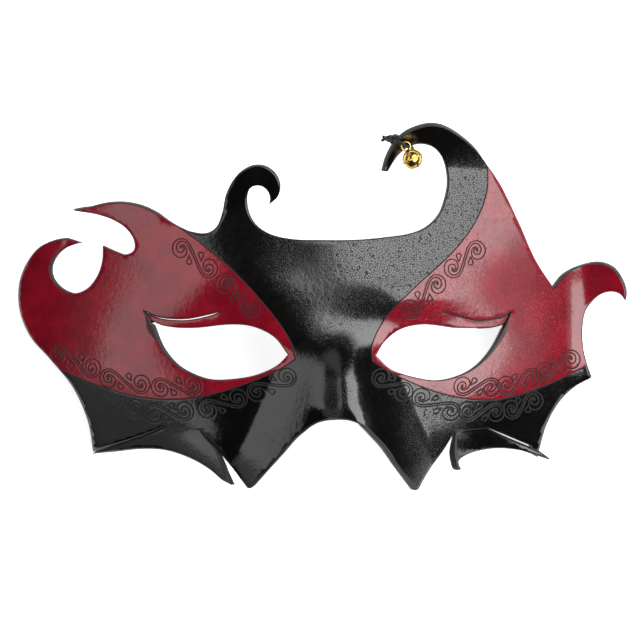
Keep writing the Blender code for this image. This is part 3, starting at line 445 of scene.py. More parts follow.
@dataclass(frozen=True)
class Engraving:
    """Scrolls drawn as two fine lines side by side, drops beside them, and the dye lines.

    Each line of an S is the outer line of one spiral and the inner line of the other, so the
    two lines are given by their radii at angles turned from where the stem meets the spiral.
    """

    stem_radius: float = 3.35
    outer: Line = (
        (12, 3.1), (50, 3.15), (90, 3.25), (135, 3.25), (180, 3.35), (220, 3.45), (250, 3.35),
        (278, 2.95), (305, 2.2), (335, 1.6), (370, 1.3), (420, 1.15), (470, 0.9), (520, 0.5),
    )
    inner: Line = (
        (8, 2.35), (45, 2.35), (85, 2.3), (125, 2.0), (165, 1.82), (205, 1.8), (240, 1.65),
        (275, 1.3), (315, 0.95), (355, 0.75), (400, 0.6), (450, 0.42), (500, 0.2),
    )
    stem_half_gap: float = 0.33
    line_half_width: float = 0.17
    depth: float = 0.05
    drop_size: tuple[float, float] = (1.45, 0.68)
    drop_along: float = 1.27
    drop_across: float = 1.8
    drop_turn: float = 52.0
    step: float = 0.4
    reach: float = 0.8
    beside: tuple[float, ...] = (0, 0.13, -0.13, 0.27, -0.27, 0.5, -0.5)
    edge_clear: float = 0.25

    def spiral(self, radii: Line, heading: float, hand: int) -> Array:
        """Points of one line of a spiral, from the stem to its curled end."""
        turn, radius = np.array(radii, float).T
        angle = heading + hand * (math.pi / 2 + np.radians(turn))
        return np.column_stack([np.cos(angle), np.sin(angle)]) * radius[:, None]

    def scroll(self, ends: Line, side: Side) -> list[Array]:
        """The two lines of an S, through its middle from one spiral to the other."""
        first, second = np.array(ends[0]), np.array(ends[1])
        between = second - first
        hand = side.value
        heading = math.atan2(between[1], between[0])
        heading -= hand * math.asin(2 * self.stem_radius / np.linalg.norm(between))
        square = np.array([-math.sin(heading), math.cos(heading)]) * hand * self.stem_half_gap
        lines = []
        for start, finish, way in ((self.outer, self.inner, 1), (self.inner, self.outer, -1)):
            knots = [(first + self.spiral(start, heading, hand))[::-1],
                     [(first + second) / 2 + way * square],
                     second - self.spiral(finish, heading, hand)]
            lines.append(smooth_curve(np.vstack(knots), per_span=6))
        return lines

    def drops(self, ends: Line, side: Side) -> list[Array]:
        """The two drops beside an S, each the loop (-a·cos t, 2b·sin t·sin(t/2)²)."""
        first, second = np.array(ends[0]), np.array(ends[1])
        along = (second - first) / np.linalg.norm(second - first)
        across = np.array([-along[1], along[0]])
        turn = -side.value * math.radians(self.drop_turn)
        axis = along * math.cos(turn) + across * math.sin(turn)
        beside = np.array([-axis[1], axis[0]])
        t = np.linspace(0, math.tau, 28)
        loop = np.column_stack([-np.cos(t), 2 * np.sin(t) * np.sin(t / 2) ** 2]) * self.drop_size
        loop = loop[:, :1] * axis + loop[:, 1:] * beside
        offset = self.drop_along * along + side.value * self.drop_across * across
        middle = (first + second) / 2
        return [middle - offset + loop, middle + offset - loop]

    def cut(self, distance: Array) -> Array:
        """Depth of a line cut at some distance from its middle: depth · exp(-(off/half)²)."""
        return self.depth * np.exp(-((distance / self.line_half_width) ** 2))

    def rows(self, line: Array) -> Array:
        """Points on lines side by side with one line, so that the mesh can follow a cut."""
        line = evenly(line, self.step)
        square = sideways(line)
        return np.vstack([line + square * offset for offset in self.beside])


# The leather sheet


@dataclass(frozen=True)
class Lid:
    """An eyelid below its slit, which runs from the lid's hinge to its tip.

    The tip lies between the slit's end and the eye's outer corner, which `corner` gives.
    """

    back: float
    slit: Line
    corner: tuple[float, float]
    low: float = 4.2
    start: float = 6.0

    def part(self, x: Array, y: Array) -> Array:
        """How far up the lid a point is, from 0 at its rim to 1 at the slit, and 0 beyond it."""
        way = math.copysign(1.0, self.corner[0])
        line = smooth_curve(self.slit) * (way, 1)
        top = np.interp(way * x, line[:, 0], line[:, 1])
        end = np.interp(y, (self.corner[1], self.slit[-1][1]), (way * self.corner[0], line[-1, 0]))
        within = (way * x > line[0, 0]) & (way * x < end) & (y < top)
        return np.clip((y - self.low) / np.maximum(top - self.low, 0.5), 0, 1) * within

    def drop(self, x: Array, y: Array) -> Array:
        """How far the lid lies behind the brow: more towards the slit and away from the hinge."""
        return self.back * self.part(x, y) * soft_step(0.0, self.start, np.abs(x - self.slit[0][0]))


@dataclass
class LeatherMask:
    """The whole mask as one sheet: its dyed grain side, its cut edges and its flesh side."""

    form: FaceForm = FaceForm()
    pattern: Pattern = Pattern()
    engraving: Engraving = Engraving()
    thickness: float = 2.6
    grid: float = 1.5
    back_grid: float = 3.0
    grid_clear: float = 0.9
    back_clear: float = 1.2
    edge_step: float = 1.0
    edge_inset: float = 0.22
    edge_drop: float = 0.1
    edge_depths: tuple[float, float, float] = (0.42, 1.3, 2.25)
    edge_round: float = 0.5
    edge_sharpest: float = 0.8
    rim_reach: float = 6.0
    dye_reach: float = 4.0
    hinge_clear: float = 1.2
    hinge_blend: float = 1.0
    lids: tuple[Lid, ...] = (
        Lid(0.5, ((-39, 9.9), (-45, 8.27), (-52, 7.1), (-61, 7.69), (-64, 8.83), (-66.55, 10.1)),
            (-63.7, 6.7)),
        Lid(0.9, ((37.2, 9.7), (45.1, 7.83), (50.8, 6.73), (57.3, 7.46), (60, 8.52), (62.05, 9.8)),
            (60.05, 5.7)),
    )
    left_flap_lift: tuple[float, float, float] = (0.011, -60.0, 5.0)
    right_flap_curl: tuple[float, float] = (0.0055, 52.0)
    right_flap_lift: tuple[float, float] = (0.034, 58.0)
    # Zones where the cut edge's black dye is painted wider onto the front. The edge dye is real;
    # the wider band is painted shade of the gaps and cut walls beside the eyes, the nose notch, the
    # cheek tips and the flaps.
    edge_dye_and_shade_bands: tuple[Swell, ...] = (
        Swell(2.4, (-64.5, 4), (6, 3.8)),
        Swell(0.9, (-59, -5), (7, 7)),
        Swell(1.3, (59.5, 2), (6, 5)),
        Swell(0.7, (54, -5), (6, 5)),
        Swell(0.9, (0, -29), (13, 6)),
        Swell(0.9, (-17, -40), (7, 8)),
        Swell(0.9, (17, -40), (7, 8)),
        Swell(0.8, (-27, -50), (5, 5)),
        Swell(0.8, (27, -50), (5, 5)),
        Swell(1.0, (-38, -44), (4, 9)),
        Swell(1.3, (43, -40), (3, 8)),
    )
    grained: tuple[Swell, ...] = (
        Swell(1.8, (10, 30), (24, 14)),
        Swell(1.5, (38, 36), (12, 9)),
        Swell(1.5, (50, 50), (10, 12)),
        Swell(1.4, (35, -29), (8, 12)),
        Swell(0.8, (2, -19), (5, 9)),
        Swell(0.6, (0, 6), (10, 7)),
        Swell(1.0, (60, 20), (30, 30)),
    )
    points: list[Array] = field(default_factory=list)
    faces: list[Array] = field(default_factory=list)
    slots: list[int] = field(default_factory=list)
    marks: list[Array] = field(default_factory=list)

    def sheet_height(self, x: Array, y: Array) -> Array:
        """Front of the main sheet, with the cut eyelids a little behind the brow."""
        height = self.thickness + self.form.height(x, y)
        return height - sum(lid.drop(x, y) for lid in self.lids)

    def below_hinge(self, x: Array, y: Array, hinge: Line) -> Array:
        """How far a point lies below the line through the two ends of a hinge."""
        (ax, ay), (bx, by) = hinge
        length = math.hypot(bx - ax, by - ay)
        below = ((by - ay) * (x - ax) - (bx - ax) * (y - ay)) / length
        return soft_ramp(below - self.hinge_clear, self.hinge_blend)

    def left_flap_height(self, x: Array, y: Array) -> Array:
        """The left flap: its inner end comes forward."""
        rate, from_x, blend = self.left_flap_lift
        lift = rate * self.below_hinge(x, y, self.pattern.left_hinge) * soft_ramp(x - from_x, blend)
        return self.thickness + self.form.height(x, y) + lift

    def right_flap_height(self, x: Array, y: Array) -> Array:
        """The right flap: both ends curl forward, the outer one over the panel."""
        curl_rate, curl_x = self.right_flap_curl
        lift_rate, lift_x = self.right_flap_lift
        curl = curl_rate * soft_ramp(curl_x - x, 2) ** 2 + lift_rate * soft_ramp(x - lift_x, 4)
        below = self.below_hinge(x, y, self.pattern.right_hinge)
        return self.thickness + self.form.height(x, y) + below * curl

    def raised(self, height: Callable[[Array, Array], Array], flat: Array) -> tuple[Array, Array]:
        """Points of the front over flat points, and its normals there, by central slopes."""
        x, y = flat[:, 0], flat[:, 1]
        nudge = 0.05
        slope_x = (height(x + nudge, y) - height(x - nudge, y)) / (2 * nudge)
        slope_y = (height(x, y + nudge) - height(x, y - nudge)) / (2 * nudge)
        normals = unit(np.column_stack([-slope_x, -slope_y, np.ones(len(x))]))
        return np.column_stack([x, y, height(x, y)]), normals

    def on_hinge(self, flat: Array) -> Array:
        """Which points lie on one of the two hinges, where the flaps are not cut free."""
        reach = 0.01
        hinges = np.array([self.pattern.left_hinge, self.pattern.right_hinge], float)
        return nearest_of(flat, hinges, reach) < reach

    def staggered(self, ring: Array, holes: list[Array], step: float, clear: float) -> Array:
        """A staggered grid of points inside the ring and clear of its edges."""
        low, high = ring.min(axis=0), ring.max(axis=0)
        rows = np.arange(low[1], high[1], step * math.sqrt(3) / 2)
        x, y = np.meshgrid(np.arange(low[0], high[0], step), rows)
        x[1::2] += step / 2
        return self.clear_of([ring, *holes], np.column_stack([x.ravel(), y.ravel()]), clear)

    def clear_of(self, rings: list[Array], points: Array, clear: float) -> Array:
        """The points inside the first ring, outside the others, and clear of them all."""
        points = points[inside(points, rings[0])]
        for hole in rings[1:]:
            points = points[~inside(points, hole)]
        return points[nearest_of(points, list(map(ringed, rings)), clear + 1) > clear]

    def inwards(self, ring: Array) -> Array:
        """Unit vectors into the leather at the points of a clockwise ring."""
        along = unit(ring - np.roll(ring, 1, axis=0)) + unit(np.roll(ring, -1, axis=0) - ring)
        square = np.column_stack([along[:, 1], -along[:, 0]])
        return square / np.maximum(np.linalg.norm(square, axis=1), self.edge_sharpest)[:, None]

    def clockwise(self, ring: Array, way: bool) -> Array:
        """The ring turned so that it runs clockwise, or the other way."""
        x, y = ring[:, 0], ring[:, 1]
        area = (x * np.roll(y, -1) - np.roll(x, -1) * y).sum()
        return ring if (area < 0) == way else ring[::-1]

    def triangulated(self, rings: list[Array], free: Array) -> tuple[Array, Array]:
        """Flat points, the rings' first and in order, and the triangles over them."""
        points, edges = np.vstack([*rings, free]), []
        first = 0
        for ring in rings:
            edges += [(first + i, first + (i + 1) % len(ring)) for i in range(len(ring))]
            first += len(ring)
        found = delaunay_2d_cdt([Vector(p) for p in points], edges, [], 1, 1e-5)
        flat = np.array([tuple(p) for p in found[0]])
        triangles = np.array(found[2])
        source = np.array([ids[0] if ids else -1 for ids in found[3]])
        order = np.argsort(np.where(source < 0, len(points), source), kind="stable")
        place = np.empty_like(order)
        place[order] = np.arange(len(order))
        flat, triangles = flat[order], place[triangles]
        middles = flat[triangles].mean(axis=1)
        for hole in rings[1:]:
            outside = ~inside(middles, hole)
            triangles, middles = triangles[outside], middles[outside]
        return flat, triangles

    def engraved_lines(self) -> list[Array]:
        """The lines of the scrolls, of the drops and of the dye's borders."""
        cuts, pattern = self.engraving, self.pattern
        pairs = [(ends, Side.LEFT) for ends in pattern.left_scrolls]
        pairs += [(ends, Side.RIGHT) for ends in pattern.right_scrolls]
        lines = [smooth_curve(line) for line in pattern.dye_lines]
        for ends, side in pairs:
            lines += cuts.scroll(ends, side) + cuts.drops(ends, side)
        return lines

    def add(self, points: Array, faces: Array, slot: int, marks: Array) -> None:
        """Puts one block of points and faces by, with the marks that the finish reads."""
        first = sum(len(block) for block in self.points)
        self.points.append(points)
        self.faces.append(faces + first)
        self.slots += [slot] * len(faces)
        self.marks.append(marks)

    def add_leather(self, height: Callable, rings: list[Array], engraved: bool) -> None:
        """One stretch of leather: its front, its back, and its rounded edges between them.

        Args:
            height: the front's height over flat points.
            rings: the outline and then the holes, as evenly sampled rings.
            engraved: whether the scrolls and the dye lines are cut into it.
        """
        rings = [self.clockwise(ring, i == 0) for i, ring in enumerate(rings)]
        cuts = self.engraving
        free = [self.staggered(rings[0], rings[1:], self.grid, self.grid_clear)]
        for ring in rings:
            inner = ring + self.inwards(ring) * self.edge_round
            free.append(self.clear_of(rings, inner, self.edge_round * 0.8))
        lines = self.engraved_lines() if engraved else []
        free += [self.clear_of(rings, cuts.rows(line), cuts.edge_clear) for line in lines]
        flat, front = self.triangulated(rings, np.vstack(free))
        points, normals = self.raised(height, flat)
        away = nearest_of(flat, lines, cuts.reach)
        depth = cuts.cut(away) * (away < cuts.reach)
        worked = depth / cuts.depth
        count = sum(len(ring) for ring in rings)
        depth[:count] = 0
        hinged = self.on_hinge(flat)
        into = np.zeros_like(flat)
        into[:count] = np.vstack([self.inwards(ring) for ring in rings])
        into[hinged] = 0
        rim = np.where((np.arange(len(flat)) < count) & ~hinged, self.edge_drop, 0.0)
        front_points = points - normals * (depth + rim)[:, None]
        front_points[:, :2] += into * self.edge_inset
        edge = nearest_of(flat, list(map(ringed, rings)), self.rim_reach)
        self.add(front_points, front, 0, self.finish_marks(flat, worked, edge))

        flat_back, back = self.triangulated(
            rings, self.staggered(rings[0], rings[1:], self.back_grid, self.back_clear))
        points, normals = self.raised(height, flat_back)
        points -= normals * self.thickness
        points[:count, :2] += into[:count] * self.edge_inset
        points[:, 2] = np.maximum(points[:, 2], FLOOR_GAP)
        self.add(points, back[:, ::-1], 2, np.zeros((len(points), 4)))
        self.add_edges(height, rings)

    def finish_marks(self, flat: Array, worked: Array, edge: Array) -> Array:
        """For each point: its cut depth, how far inside the red it is, how far past the rim's dark
        band, which is the cut edge's black dye and in the listed zones painted shade, and how much
        grain shows."""
        away = nearest_of(flat, list(map(smooth_curve, self.pattern.dye_lines)), self.dye_reach)
        red = np.zeros(len(flat), bool)
        for ring in self.pattern.red_rings():
            red |= inside(flat, ring)
        x, y = flat[:, 0], flat[:, 1]
        on_lid = sum(lid.part(x, y) for lid in self.lids) > 0
        # The band along the edges is the edge's black dye, widened in these zones into painted
        # shade of the gaps and cut walls.
        band = sum(zone.height(x, y) for zone in self.edge_dye_and_shade_bands) * ~on_lid
        grain = np.minimum(sum(zone.height(x, y) for zone in self.grained), 1)
        return np.column_stack([worked, np.where(red, away, -away), edge - band, grain])

    def add_edges(self, height: Callable, rings: list[Array]) -> None:
        """The cut edges as a strip of rows from the front to the back, rounded at both."""
        depths = (self.edge_drop, *self.edge_depths, self.thickness)
        insets = (self.edge_inset, 0.0, 0.0, 0.0, self.edge_inset)
        for ring in rings:
            points, normals = self.raised(height, ring)
            hinged = self.on_hinge(ring)
            into = self.inwards(ring)
            into[hinged] = 0
            rows = []
            for i, (depth, inset) in enumerate(zip(depths, insets)):
                drop = np.where(hinged & (i == 0), 0.0, depth)
                row = points - normals * drop[:, None]
                row[:, :2] += into * inset
                row[:, 2] = np.maximum(row[:, 2], FLOOR_GAP)
                rows.append(row)
            count = len(ring)
            i = np.nonzero(~(hinged & np.roll(hinged, -1)))[0]
            j = (i + 1) % count
            quads = [np.column_stack([i, j, j + count, i + count]) + k * count
                     for k in range(len(rows) - 1)]
            block = np.vstack(rows)
            self.add(block, np.vstack(quads), 1, np.zeros((len(block), 4)))

    def build(self) -> bpy.types.Object:
        """The mask's object, with its marks as attributes."""
        pattern = self.pattern
        main = pattern.ring(pattern.start, pattern.outline, self.edge_step)
        eyes = [pattern.ring(corner, strokes, self.edge_step)
                for corner, strokes in zip(pattern.eye_corners, pattern.eyes)]
        self.add_leather(self.sheet_height, [main, *eyes], True)
        for height, hinge, strokes in (
                (self.left_flap_height, pattern.left_hinge, pattern.left_flap),
                (self.right_flap_height, pattern.right_hinge, pattern.right_flap)):
            flap = pattern.ring(hinge[1], strokes, self.edge_step)
            flap = np.vstack([flap, evenly(flap[[-1, 0]], self.edge_step)[1:-1]])
            self.add_leather(height, [flap], False)
        points = np.vstack(self.points) + (*PATTERN_ORIGIN, 0)
        faces = [tuple(face) for block in self.faces for face in block.tolist()]
        mesh = bpy.data.meshes.new("leather_mask_sheet")
        mesh.from_pydata((points * MM).tolist(), [], faces)
        mesh.polygons.foreach_set("material_index", self.slots)
        for i, name in enumerate(MARKS):
            mark = mesh.attributes.new(name, "FLOAT", "POINT")
            mark.data.foreach_set("value", np.vstack(self.marks)[:, i].astype(np.float32))
        return closed_object("leather_mask_sheet", mesh, math.radians(60))


def closed_object(name: str, mesh: bpy.types.Mesh, sharp: float) -> bpy.types.Object:
    """An object for a mesh whose doubles are merged and whose faces then point outwards."""
    work = bmesh.new()
    work.from_mesh(mesh)
    bmesh.ops.remove_doubles(work, verts=work.verts, dist=0.003 * MM)
    loose = [v for v in work.verts if not v.link_faces]
    bmesh.ops.delete(work, geom=loose, context="VERTS")
    bmesh.ops.recalc_face_normals(work, faces=work.faces)
    open_edges = sum(1 for edge in work.edges if len(edge.link_faces) != 2)
    work.to_mesh(mesh)
    work.free()
    mesh.shade_smooth()
    mesh.set_sharp_from_angle(angle=sharp)
    obj = bpy.data.objects.new(name, mesh)
    bpy.context.scene.collection.objects.link(obj)
    LOG.info("%s: %d faces, %d open edges", name, len(mesh.polygons), open_edges)
    return obj


# Finishes


def colour(code: str) -> tuple[float, float, float, float]:
    """An sRGB hex colour as linear values."""
    parts = [int(code[i:i + 2], 16) / 255 for i in (1, 3, 5)]
    linear = [p / 12.92 if p <= 0.04045 else ((p + 0.055) / 1.055) ** 2.4 for p in parts]
    return (*linear, 1.0)


@dataclass
class Finish:
    """A node material under construction, with one way to add a node."""

    name: str
    material: bpy.types.Material = field(init=False)

    def __post_init__(self) -> None:
        """Starts the material with its default shader."""
        self.material = bpy.data.materials.new(self.name)
        self.material.use_nodes = True

    @property
    def shader(self) -> bpy.types.Node:
        """The material's main shader."""
        return self.material.node_tree.nodes["Principled BSDF"]

    @property
    def place(self) -> bpy.types.NodeSocket:
        """Where a point lies on its object."""
        return self.add("TexCoord").outputs["Object"]

    def mark(self, name: str) -> bpy.types.NodeSocket:
        """The value of one of the mesh's marks."""
        return self.add("Attribute", attribute_name=name).outputs["Fac"]

    def add(self, kind: str, links: dict | None = None, **settings) -> bpy.types.Node:
        """Adds a node.

        Args:
            kind: the node's type without its Shader Node prefix.
            links: input name or number to an output socket or a value.
            settings: properties of the node, such as operation.

        Returns:
            The new node.
        """
        node = self.material.node_tree.nodes.new(f"ShaderNode{kind}")
        for key, value in settings.items():
            setattr(node, key, value)
        self.link(node, links or {})
        return node

    def link(self, node: bpy.types.Node, links: dict) -> None:
        """Links or sets inputs of a node."""
        for key, value in links.items():
            if isinstance(value, bpy.types.NodeSocket):
                self.material.node_tree.links.new(value, node.inputs[key])
            else:
                node.inputs[key].default_value = value

    def sum(self, operation: str, *values) -> bpy.types.NodeSocket:
        """One arithmetic step on numbers or sockets."""
        return self.add("Math", dict(enumerate(values)), operation=operation).outputs[0]

    def ramp(self, value: bpy.types.NodeSocket, low: float, high: float,
             first: float = 0.0, last: float = 1.0) -> bpy.types.NodeSocket:
        """A smooth change from first to last as the value goes from low to high."""
        links = {"Value": value, "From Min": low, "From Max": high,
                 "To Min": first, "To Max": last}
        return self.add("MapRange", links, interpolation_type="SMOOTHSTEP").outputs["Result"]

    def blend(self, part, first, second) -> bpy.types.NodeSocket:
        """A colour between two, by a part from 0 to 1."""
        node = self.add("Mix", data_type="RGBA")
        self.link(node, {"Factor": part})
        for number, value in ((6, first), (7, second)):
            self.link(node, {number: colour(value) if isinstance(value, str) else value})
        return node.outputs[2]

    def noise(self, where: bpy.types.NodeSocket, size: float, detail: float = 3.0,
              stretch: tuple[float, float, float] = (1, 1, 1)) -> bpy.types.NodeSocket:
        """Cloudy noise whose blotches are about size millimetres across, 0 to 1."""
        scale = tuple(1 / (MM * size * s) for s in stretch)
        placed = self.add("Mapping", {"Vector": where, "Scale": scale})
        links = {"Vector": placed.outputs[0], "Scale": 1.0, "Detail": detail, "Roughness": 0.55}
        return self.add("TexNoise", links).outputs["Fac"]

    def bump(self, height: bpy.types.NodeSocket, depth: float) -> bpy.types.NodeSocket:
        """A bump whose height of 1 stands for a depth in millimetres."""
        links = {"Height": height, "Distance": depth * MM, "Strength": 1.0}
        return self.add("Bump", links).outputs[0]


@dataclass(frozen=True)
class DyedLeather:
    """Vegetable-tanned cowhide, wet-formed, dyed with spirit dye and burnished with wax.

    The grain side shows fine pebbles and wrinkles, which break the broad sheen into sparkle.
    They show where the hide was stretched least, and less through the red.
    The dye soaks in unevenly, so the red is cloudy, and it is dark where the swivel knife
    has opened the grain.
    """

    deep_red: str = "#6a0819"
    bright_red: str = "#7e0d1f"
    black: str = "#060505"
    worn_black: str = "#0b0a09"
    cut_red: str = "#1a0406"
    cut_black: str = "#050505"
    pebble: float = 0.75
    crease: float = 0.12
    crease_rough: float = 0.8
    stretched: float = 0.6
    wrinkle: float = 1.5
    cloud: float = 9.0
    fibre: float = 1.0
    fibre_part: float = 0.25
    burnish: float = 2.2
    cut_rough: float = 0.9
    rim_rough: float = 0.4
    relief: float = 0.05

    def make(self) -> bpy.types.Material:
        """The grain side's material."""
        f = Finish("dyed_grain_leather")
        place = f.place
        cut, red, rim, grain = map(f.mark, MARKS)
        clouds = f.noise(place, self.cloud, 5.0)
        fibres = f.noise(place, self.fibre, 3.0, (1.0, 7.0, 1.0))
        patches = f.sum("ADD", f.sum("MULTIPLY", clouds, 1 - self.fibre_part),
                        f.sum("MULTIPLY", fibres, self.fibre_part))
        reds = f.blend(f.ramp(patches, 0.36, 0.64), self.deep_red, self.bright_red)
        blacks = f.blend(f.ramp(patches, 0.4, 0.7), self.black, self.worn_black)
        is_red = f.ramp(red, -0.12, 0.16)
        dyed = f.blend(is_red, blacks, reds)
        worked = f.blend(is_red, self.cut_black, self.cut_red)
        dyed = f.blend(f.ramp(cut, 0.1, 0.5), dyed, worked)
        # Black along the cut edges: the edge's dye carried onto the front, and in the listed zones
        # painted shade of the gaps and cut walls beside it.
        dyed = f.blend(f.ramp(rim, -0.1, 0.3, 0.9, 0.0), dyed, self.black)
        cells = {"Vector": place, "Scale": 1 / (self.pebble * MM), "Randomness": 1.0}
        pebbles = f.add("TexVoronoi", cells, feature="DISTANCE_TO_EDGE").outputs["Distance"]
        creases = f.ramp(pebbles, 0.0, 0.16)
        wrinkles = f.noise(place, self.wrinkle, 4.0)
        kept = f.sum("MULTIPLY", grain, f.ramp(rim, 0.0, 0.5))
        kept = f.sum("MULTIPLY", kept, f.ramp(is_red, 0.0, 1.0, 1.0, self.stretched))
        creases = f.sum("MULTIPLY", f.sum("MULTIPLY", creases, self.crease), kept)
        open_grain = f.sum("MULTIPLY", f.ramp(pebbles, 0.04, 0.1, self.crease_rough, 0.0), kept)
        rough = f.ramp(f.noise(place, self.burnish, 4.0), 0.3, 0.7, 0.1, 0.16)
        for more in (open_grain, f.ramp(cut, 0.15, 0.55, 0.0, self.cut_rough),
                     f.ramp(rim, -0.1, 0.3, self.rim_rough, 0.0)):
            rough = f.sum("ADD", rough, more)
        f.link(f.shader, {
            "Base Color": dyed,
            "Roughness": rough,
            "Normal": f.bump(f.sum("ADD", creases, wrinkles), self.relief),
            "IOR": 1.6,
        })
        return f.material


@dataclass(frozen=True)
class BurnishedEdge:
    """The cut edge of the hide, dyed black, slicked with gum and rubbed smooth."""

    dye: str = "#0b0a0a"
    brown: str = "#1c1210"

    def make(self) -> bpy.types.Material:
        """The edge's material: layers of fibre along the edge still show a little."""
        f = Finish("burnished_leather_edge")
        layers = f.noise(f.place, 1.2, 3.0, (3.0, 3.0, 0.5))
        f.link(f.shader, {
            "Base Color": f.blend(layers, self.dye, self.brown),
            "Roughness": f.ramp(layers, 0.2, 0.8, 0.5, 0.7),
            "Normal": f.bump(layers, 0.12),
            "IOR": 1.5,
        })
        return f.material


@dataclass(frozen=True)
class FleshSide:
    """The inside of the hide, which isn't seen in the photograph: dyed dark, matt and fibrous."""

    dye: str = "#17100e"
    nap: str = "#2b1f1b"

    def make(self) -> bpy.types.Material:
        """The flesh side's material."""
        f = Finish("dyed_flesh_side")
        nap = f.noise(f.place, 0.7, 5.0)
        worn = f.ramp(f.sum("MULTIPLY", nap, f.noise(f.place, 8.0, 4.0)), 0.1, 0.4)
        f.link(f.shader, {
            "Base Color": f.blend(worn, self.dye, self.nap),
            "Roughness": 0.85,
            "Normal": f.bump(nap, 0.25),
            "IOR": 1.5,
        })
        return f.material


@dataclass(frozen=True)
class PolishedBrass:
    """Pressed brass sheet, tumbled bright, with a little tarnish in cloudy patches."""

    bright: str = "#f0cf7a"
    dull: str = "#c79a3e"

    def make(self) -> bpy.types.Material:
        """The bell's material."""
        f = Finish("polished_brass")
        clouds = f.noise(f.place, 1.8, 4.0)
        f.link(f.shader, {
            "Base Color": f.blend(clouds, self.dull, self.bright),
            "Metallic": 1.0,
            "Roughness": f.ramp(clouds, 0.3, 0.7, 0.14, 0.26),
            "Normal": f.bump(f.noise(f.place, 0.6, 2.0), 0.01),
        })
        return f.material


@dataclass(frozen=True)
class WaxedCord:
    """Twisted cotton cord, dyed black and waxed: its strands show as a slanted rib."""

    dye: str = "#0a0a0b"
    wax: str = "#232325"
    strands: float = 3.0
    pitch: float = 2.2

    def make(self) -> bpy.types.Material:
        """The cord's material, which follows the cord's own length and girth map."""
        f = Finish("waxed_cotton_cord")
        uv = f.add("UVMap", uv_map="along_and_round")
        parts = f.add("SeparateXYZ", {"Vector": uv.outputs[0]})
        along = f.sum("MULTIPLY", parts.outputs["X"], math.tau / self.pitch)
        around = f.sum("MULTIPLY", parts.outputs["Y"], math.tau * self.strands)
        twist = f.sum("ABSOLUTE", f.sum("SINE", f.sum("ADD", along, around)))
        f.link(f.shader, {
            "Base Color": f.blend(twist, self.dye, self.wax),
            "Roughness": 0.42,
            "Normal": f.bump(twist, 0.14),
            "IOR": 1.45,
        })
        return f.material


# The bell and its cord


def cells_of(block: Array, close_rows: bool, close_columns: bool) -> tuple[Array, Array]:
    """The row and the column at which each face of a grid of points starts."""
    rows, columns = block.shape[:2]
    i, j = np.meshgrid(np.arange(rows if close_rows else rows - 1),
                       np.arange(columns if close_columns else columns - 1), indexing="ij")
    return i.ravel(), j.ravel()


def grid_mesh(name: str, blocks: list[tuple[Array, bool, bool]],
              maps: list[Array] | None = None) -> bpy.types.Mesh:
    """A mesh of grids of points.

    Args:
        name: the mesh's name.
        blocks: (points as rows by columns by 3, whether rows close, whether columns close).
        maps: for each block, (along, round) of each point, with one more column than it has.
    """
    points, faces, first = [], [], 0
    for block, close_rows, close_columns in blocks:
        rows, columns = block.shape[:2]
        i, j = cells_of(block, close_rows, close_columns)
        k, m = (i + 1) % rows, (j + 1) % columns
        faces.append(first + np.column_stack([i * columns + j, k * columns + j,
                                              k * columns + m, i * columns + m]))
        points.append(block.reshape(-1, 3))
        first += rows * columns
    mesh = bpy.data.meshes.new(name)
    mesh.from_pydata((np.vstack(points) * MM).tolist(), [], np.vstack(faces).tolist())
    if maps is not None:
        corners = []
        for block, values in zip(blocks, maps):
            i, j = cells_of(*block)
            corners.append(np.stack([values[i, j], values[i + 1, j], values[i + 1, j + 1],
                                     values[i, j + 1]], axis=1).reshape(-1, 2))
        layer = mesh.uv_layers.new(name="along_and_round")
        layer.uv.foreach_set("vector", np.vstack(corners).ravel())
    return mesh


def tube(line: Array, radius: float | Array, closed: bool,
         across: int = 14) -> tuple[Array, Array]:
    """A round tube along a line: centre + radius · (cos a · side + sin a · up).

    Args:
        line: the centre line's points.
        radius: one radius, or one for each point.
        closed: whether it joins up with itself.
        across: how many points go round it.

    Returns:
        The points as rows by columns by 3, and (along, round) for each with one row and one
        column more, for the pattern on it.
    """
    around = np.roll(line, -1, axis=0) - np.roll(line, 1, axis=0)
    ahead = unit(around if closed else np.gradient(line, axis=0))
    side = np.empty_like(line)
    side[0] = np.cross(ahead[0], (0.3, 0.2, 1.0))
    for i in range(1, len(line)):
        side[i] = side[i - 1] - ahead[i] * (side[i - 1] @ ahead[i])
    side = unit(side)
    if closed:
        last = side[-1] - ahead[0] * (side[-1] @ ahead[0])
        wrong = math.atan2(np.cross(last, side[0]) @ ahead[0], last @ side[0])
        turn = (wrong * np.arange(len(line)) / len(line))[:, None]
        side = side * np.cos(turn) + np.cross(ahead, side) * np.sin(turn)
    up = np.cross(ahead, side)
    angle = np.arange(across) * math.tau / across
    reach = np.broadcast_to(radius, len(line))[:, None, None]
    around = np.cos(angle)[:, None] * side[:, None] + np.sin(angle)[:, None] * up[:, None]
    steps = np.linalg.norm(np.diff(ringed(line), axis=0), axis=1)
    along = np.concatenate([[0], np.cumsum(steps)])
    rounds = np.arange(across + 1) / across
    grid = np.stack(np.meshgrid(along, rounds, indexing="ij"), axis=-1)
    return line[:, None] + reach * around, grid


def rounded_end(line: Array, radius: float, rings: int = 4) -> tuple[Array, Array]:
    """The line and its radii with both ends drawn in to a point, for a tube with round ends."""
    first, last = line[1] - line[0], line[-1] - line[-2]
    first /= np.linalg.norm(first)
    last /= np.linalg.norm(last)
    angle = np.linspace(math.pi / 2, 0, rings + 1)[:-1]
    out, size = np.sin(angle)[:, None] * radius, np.maximum(np.cos(angle), 0.02) * radius
    whole = np.vstack([line[0] - first * out, line, (line[-1] + last * out)[::-1]])
    return whole, np.concatenate([size, np.full(len(line), radius), size[::-1]])


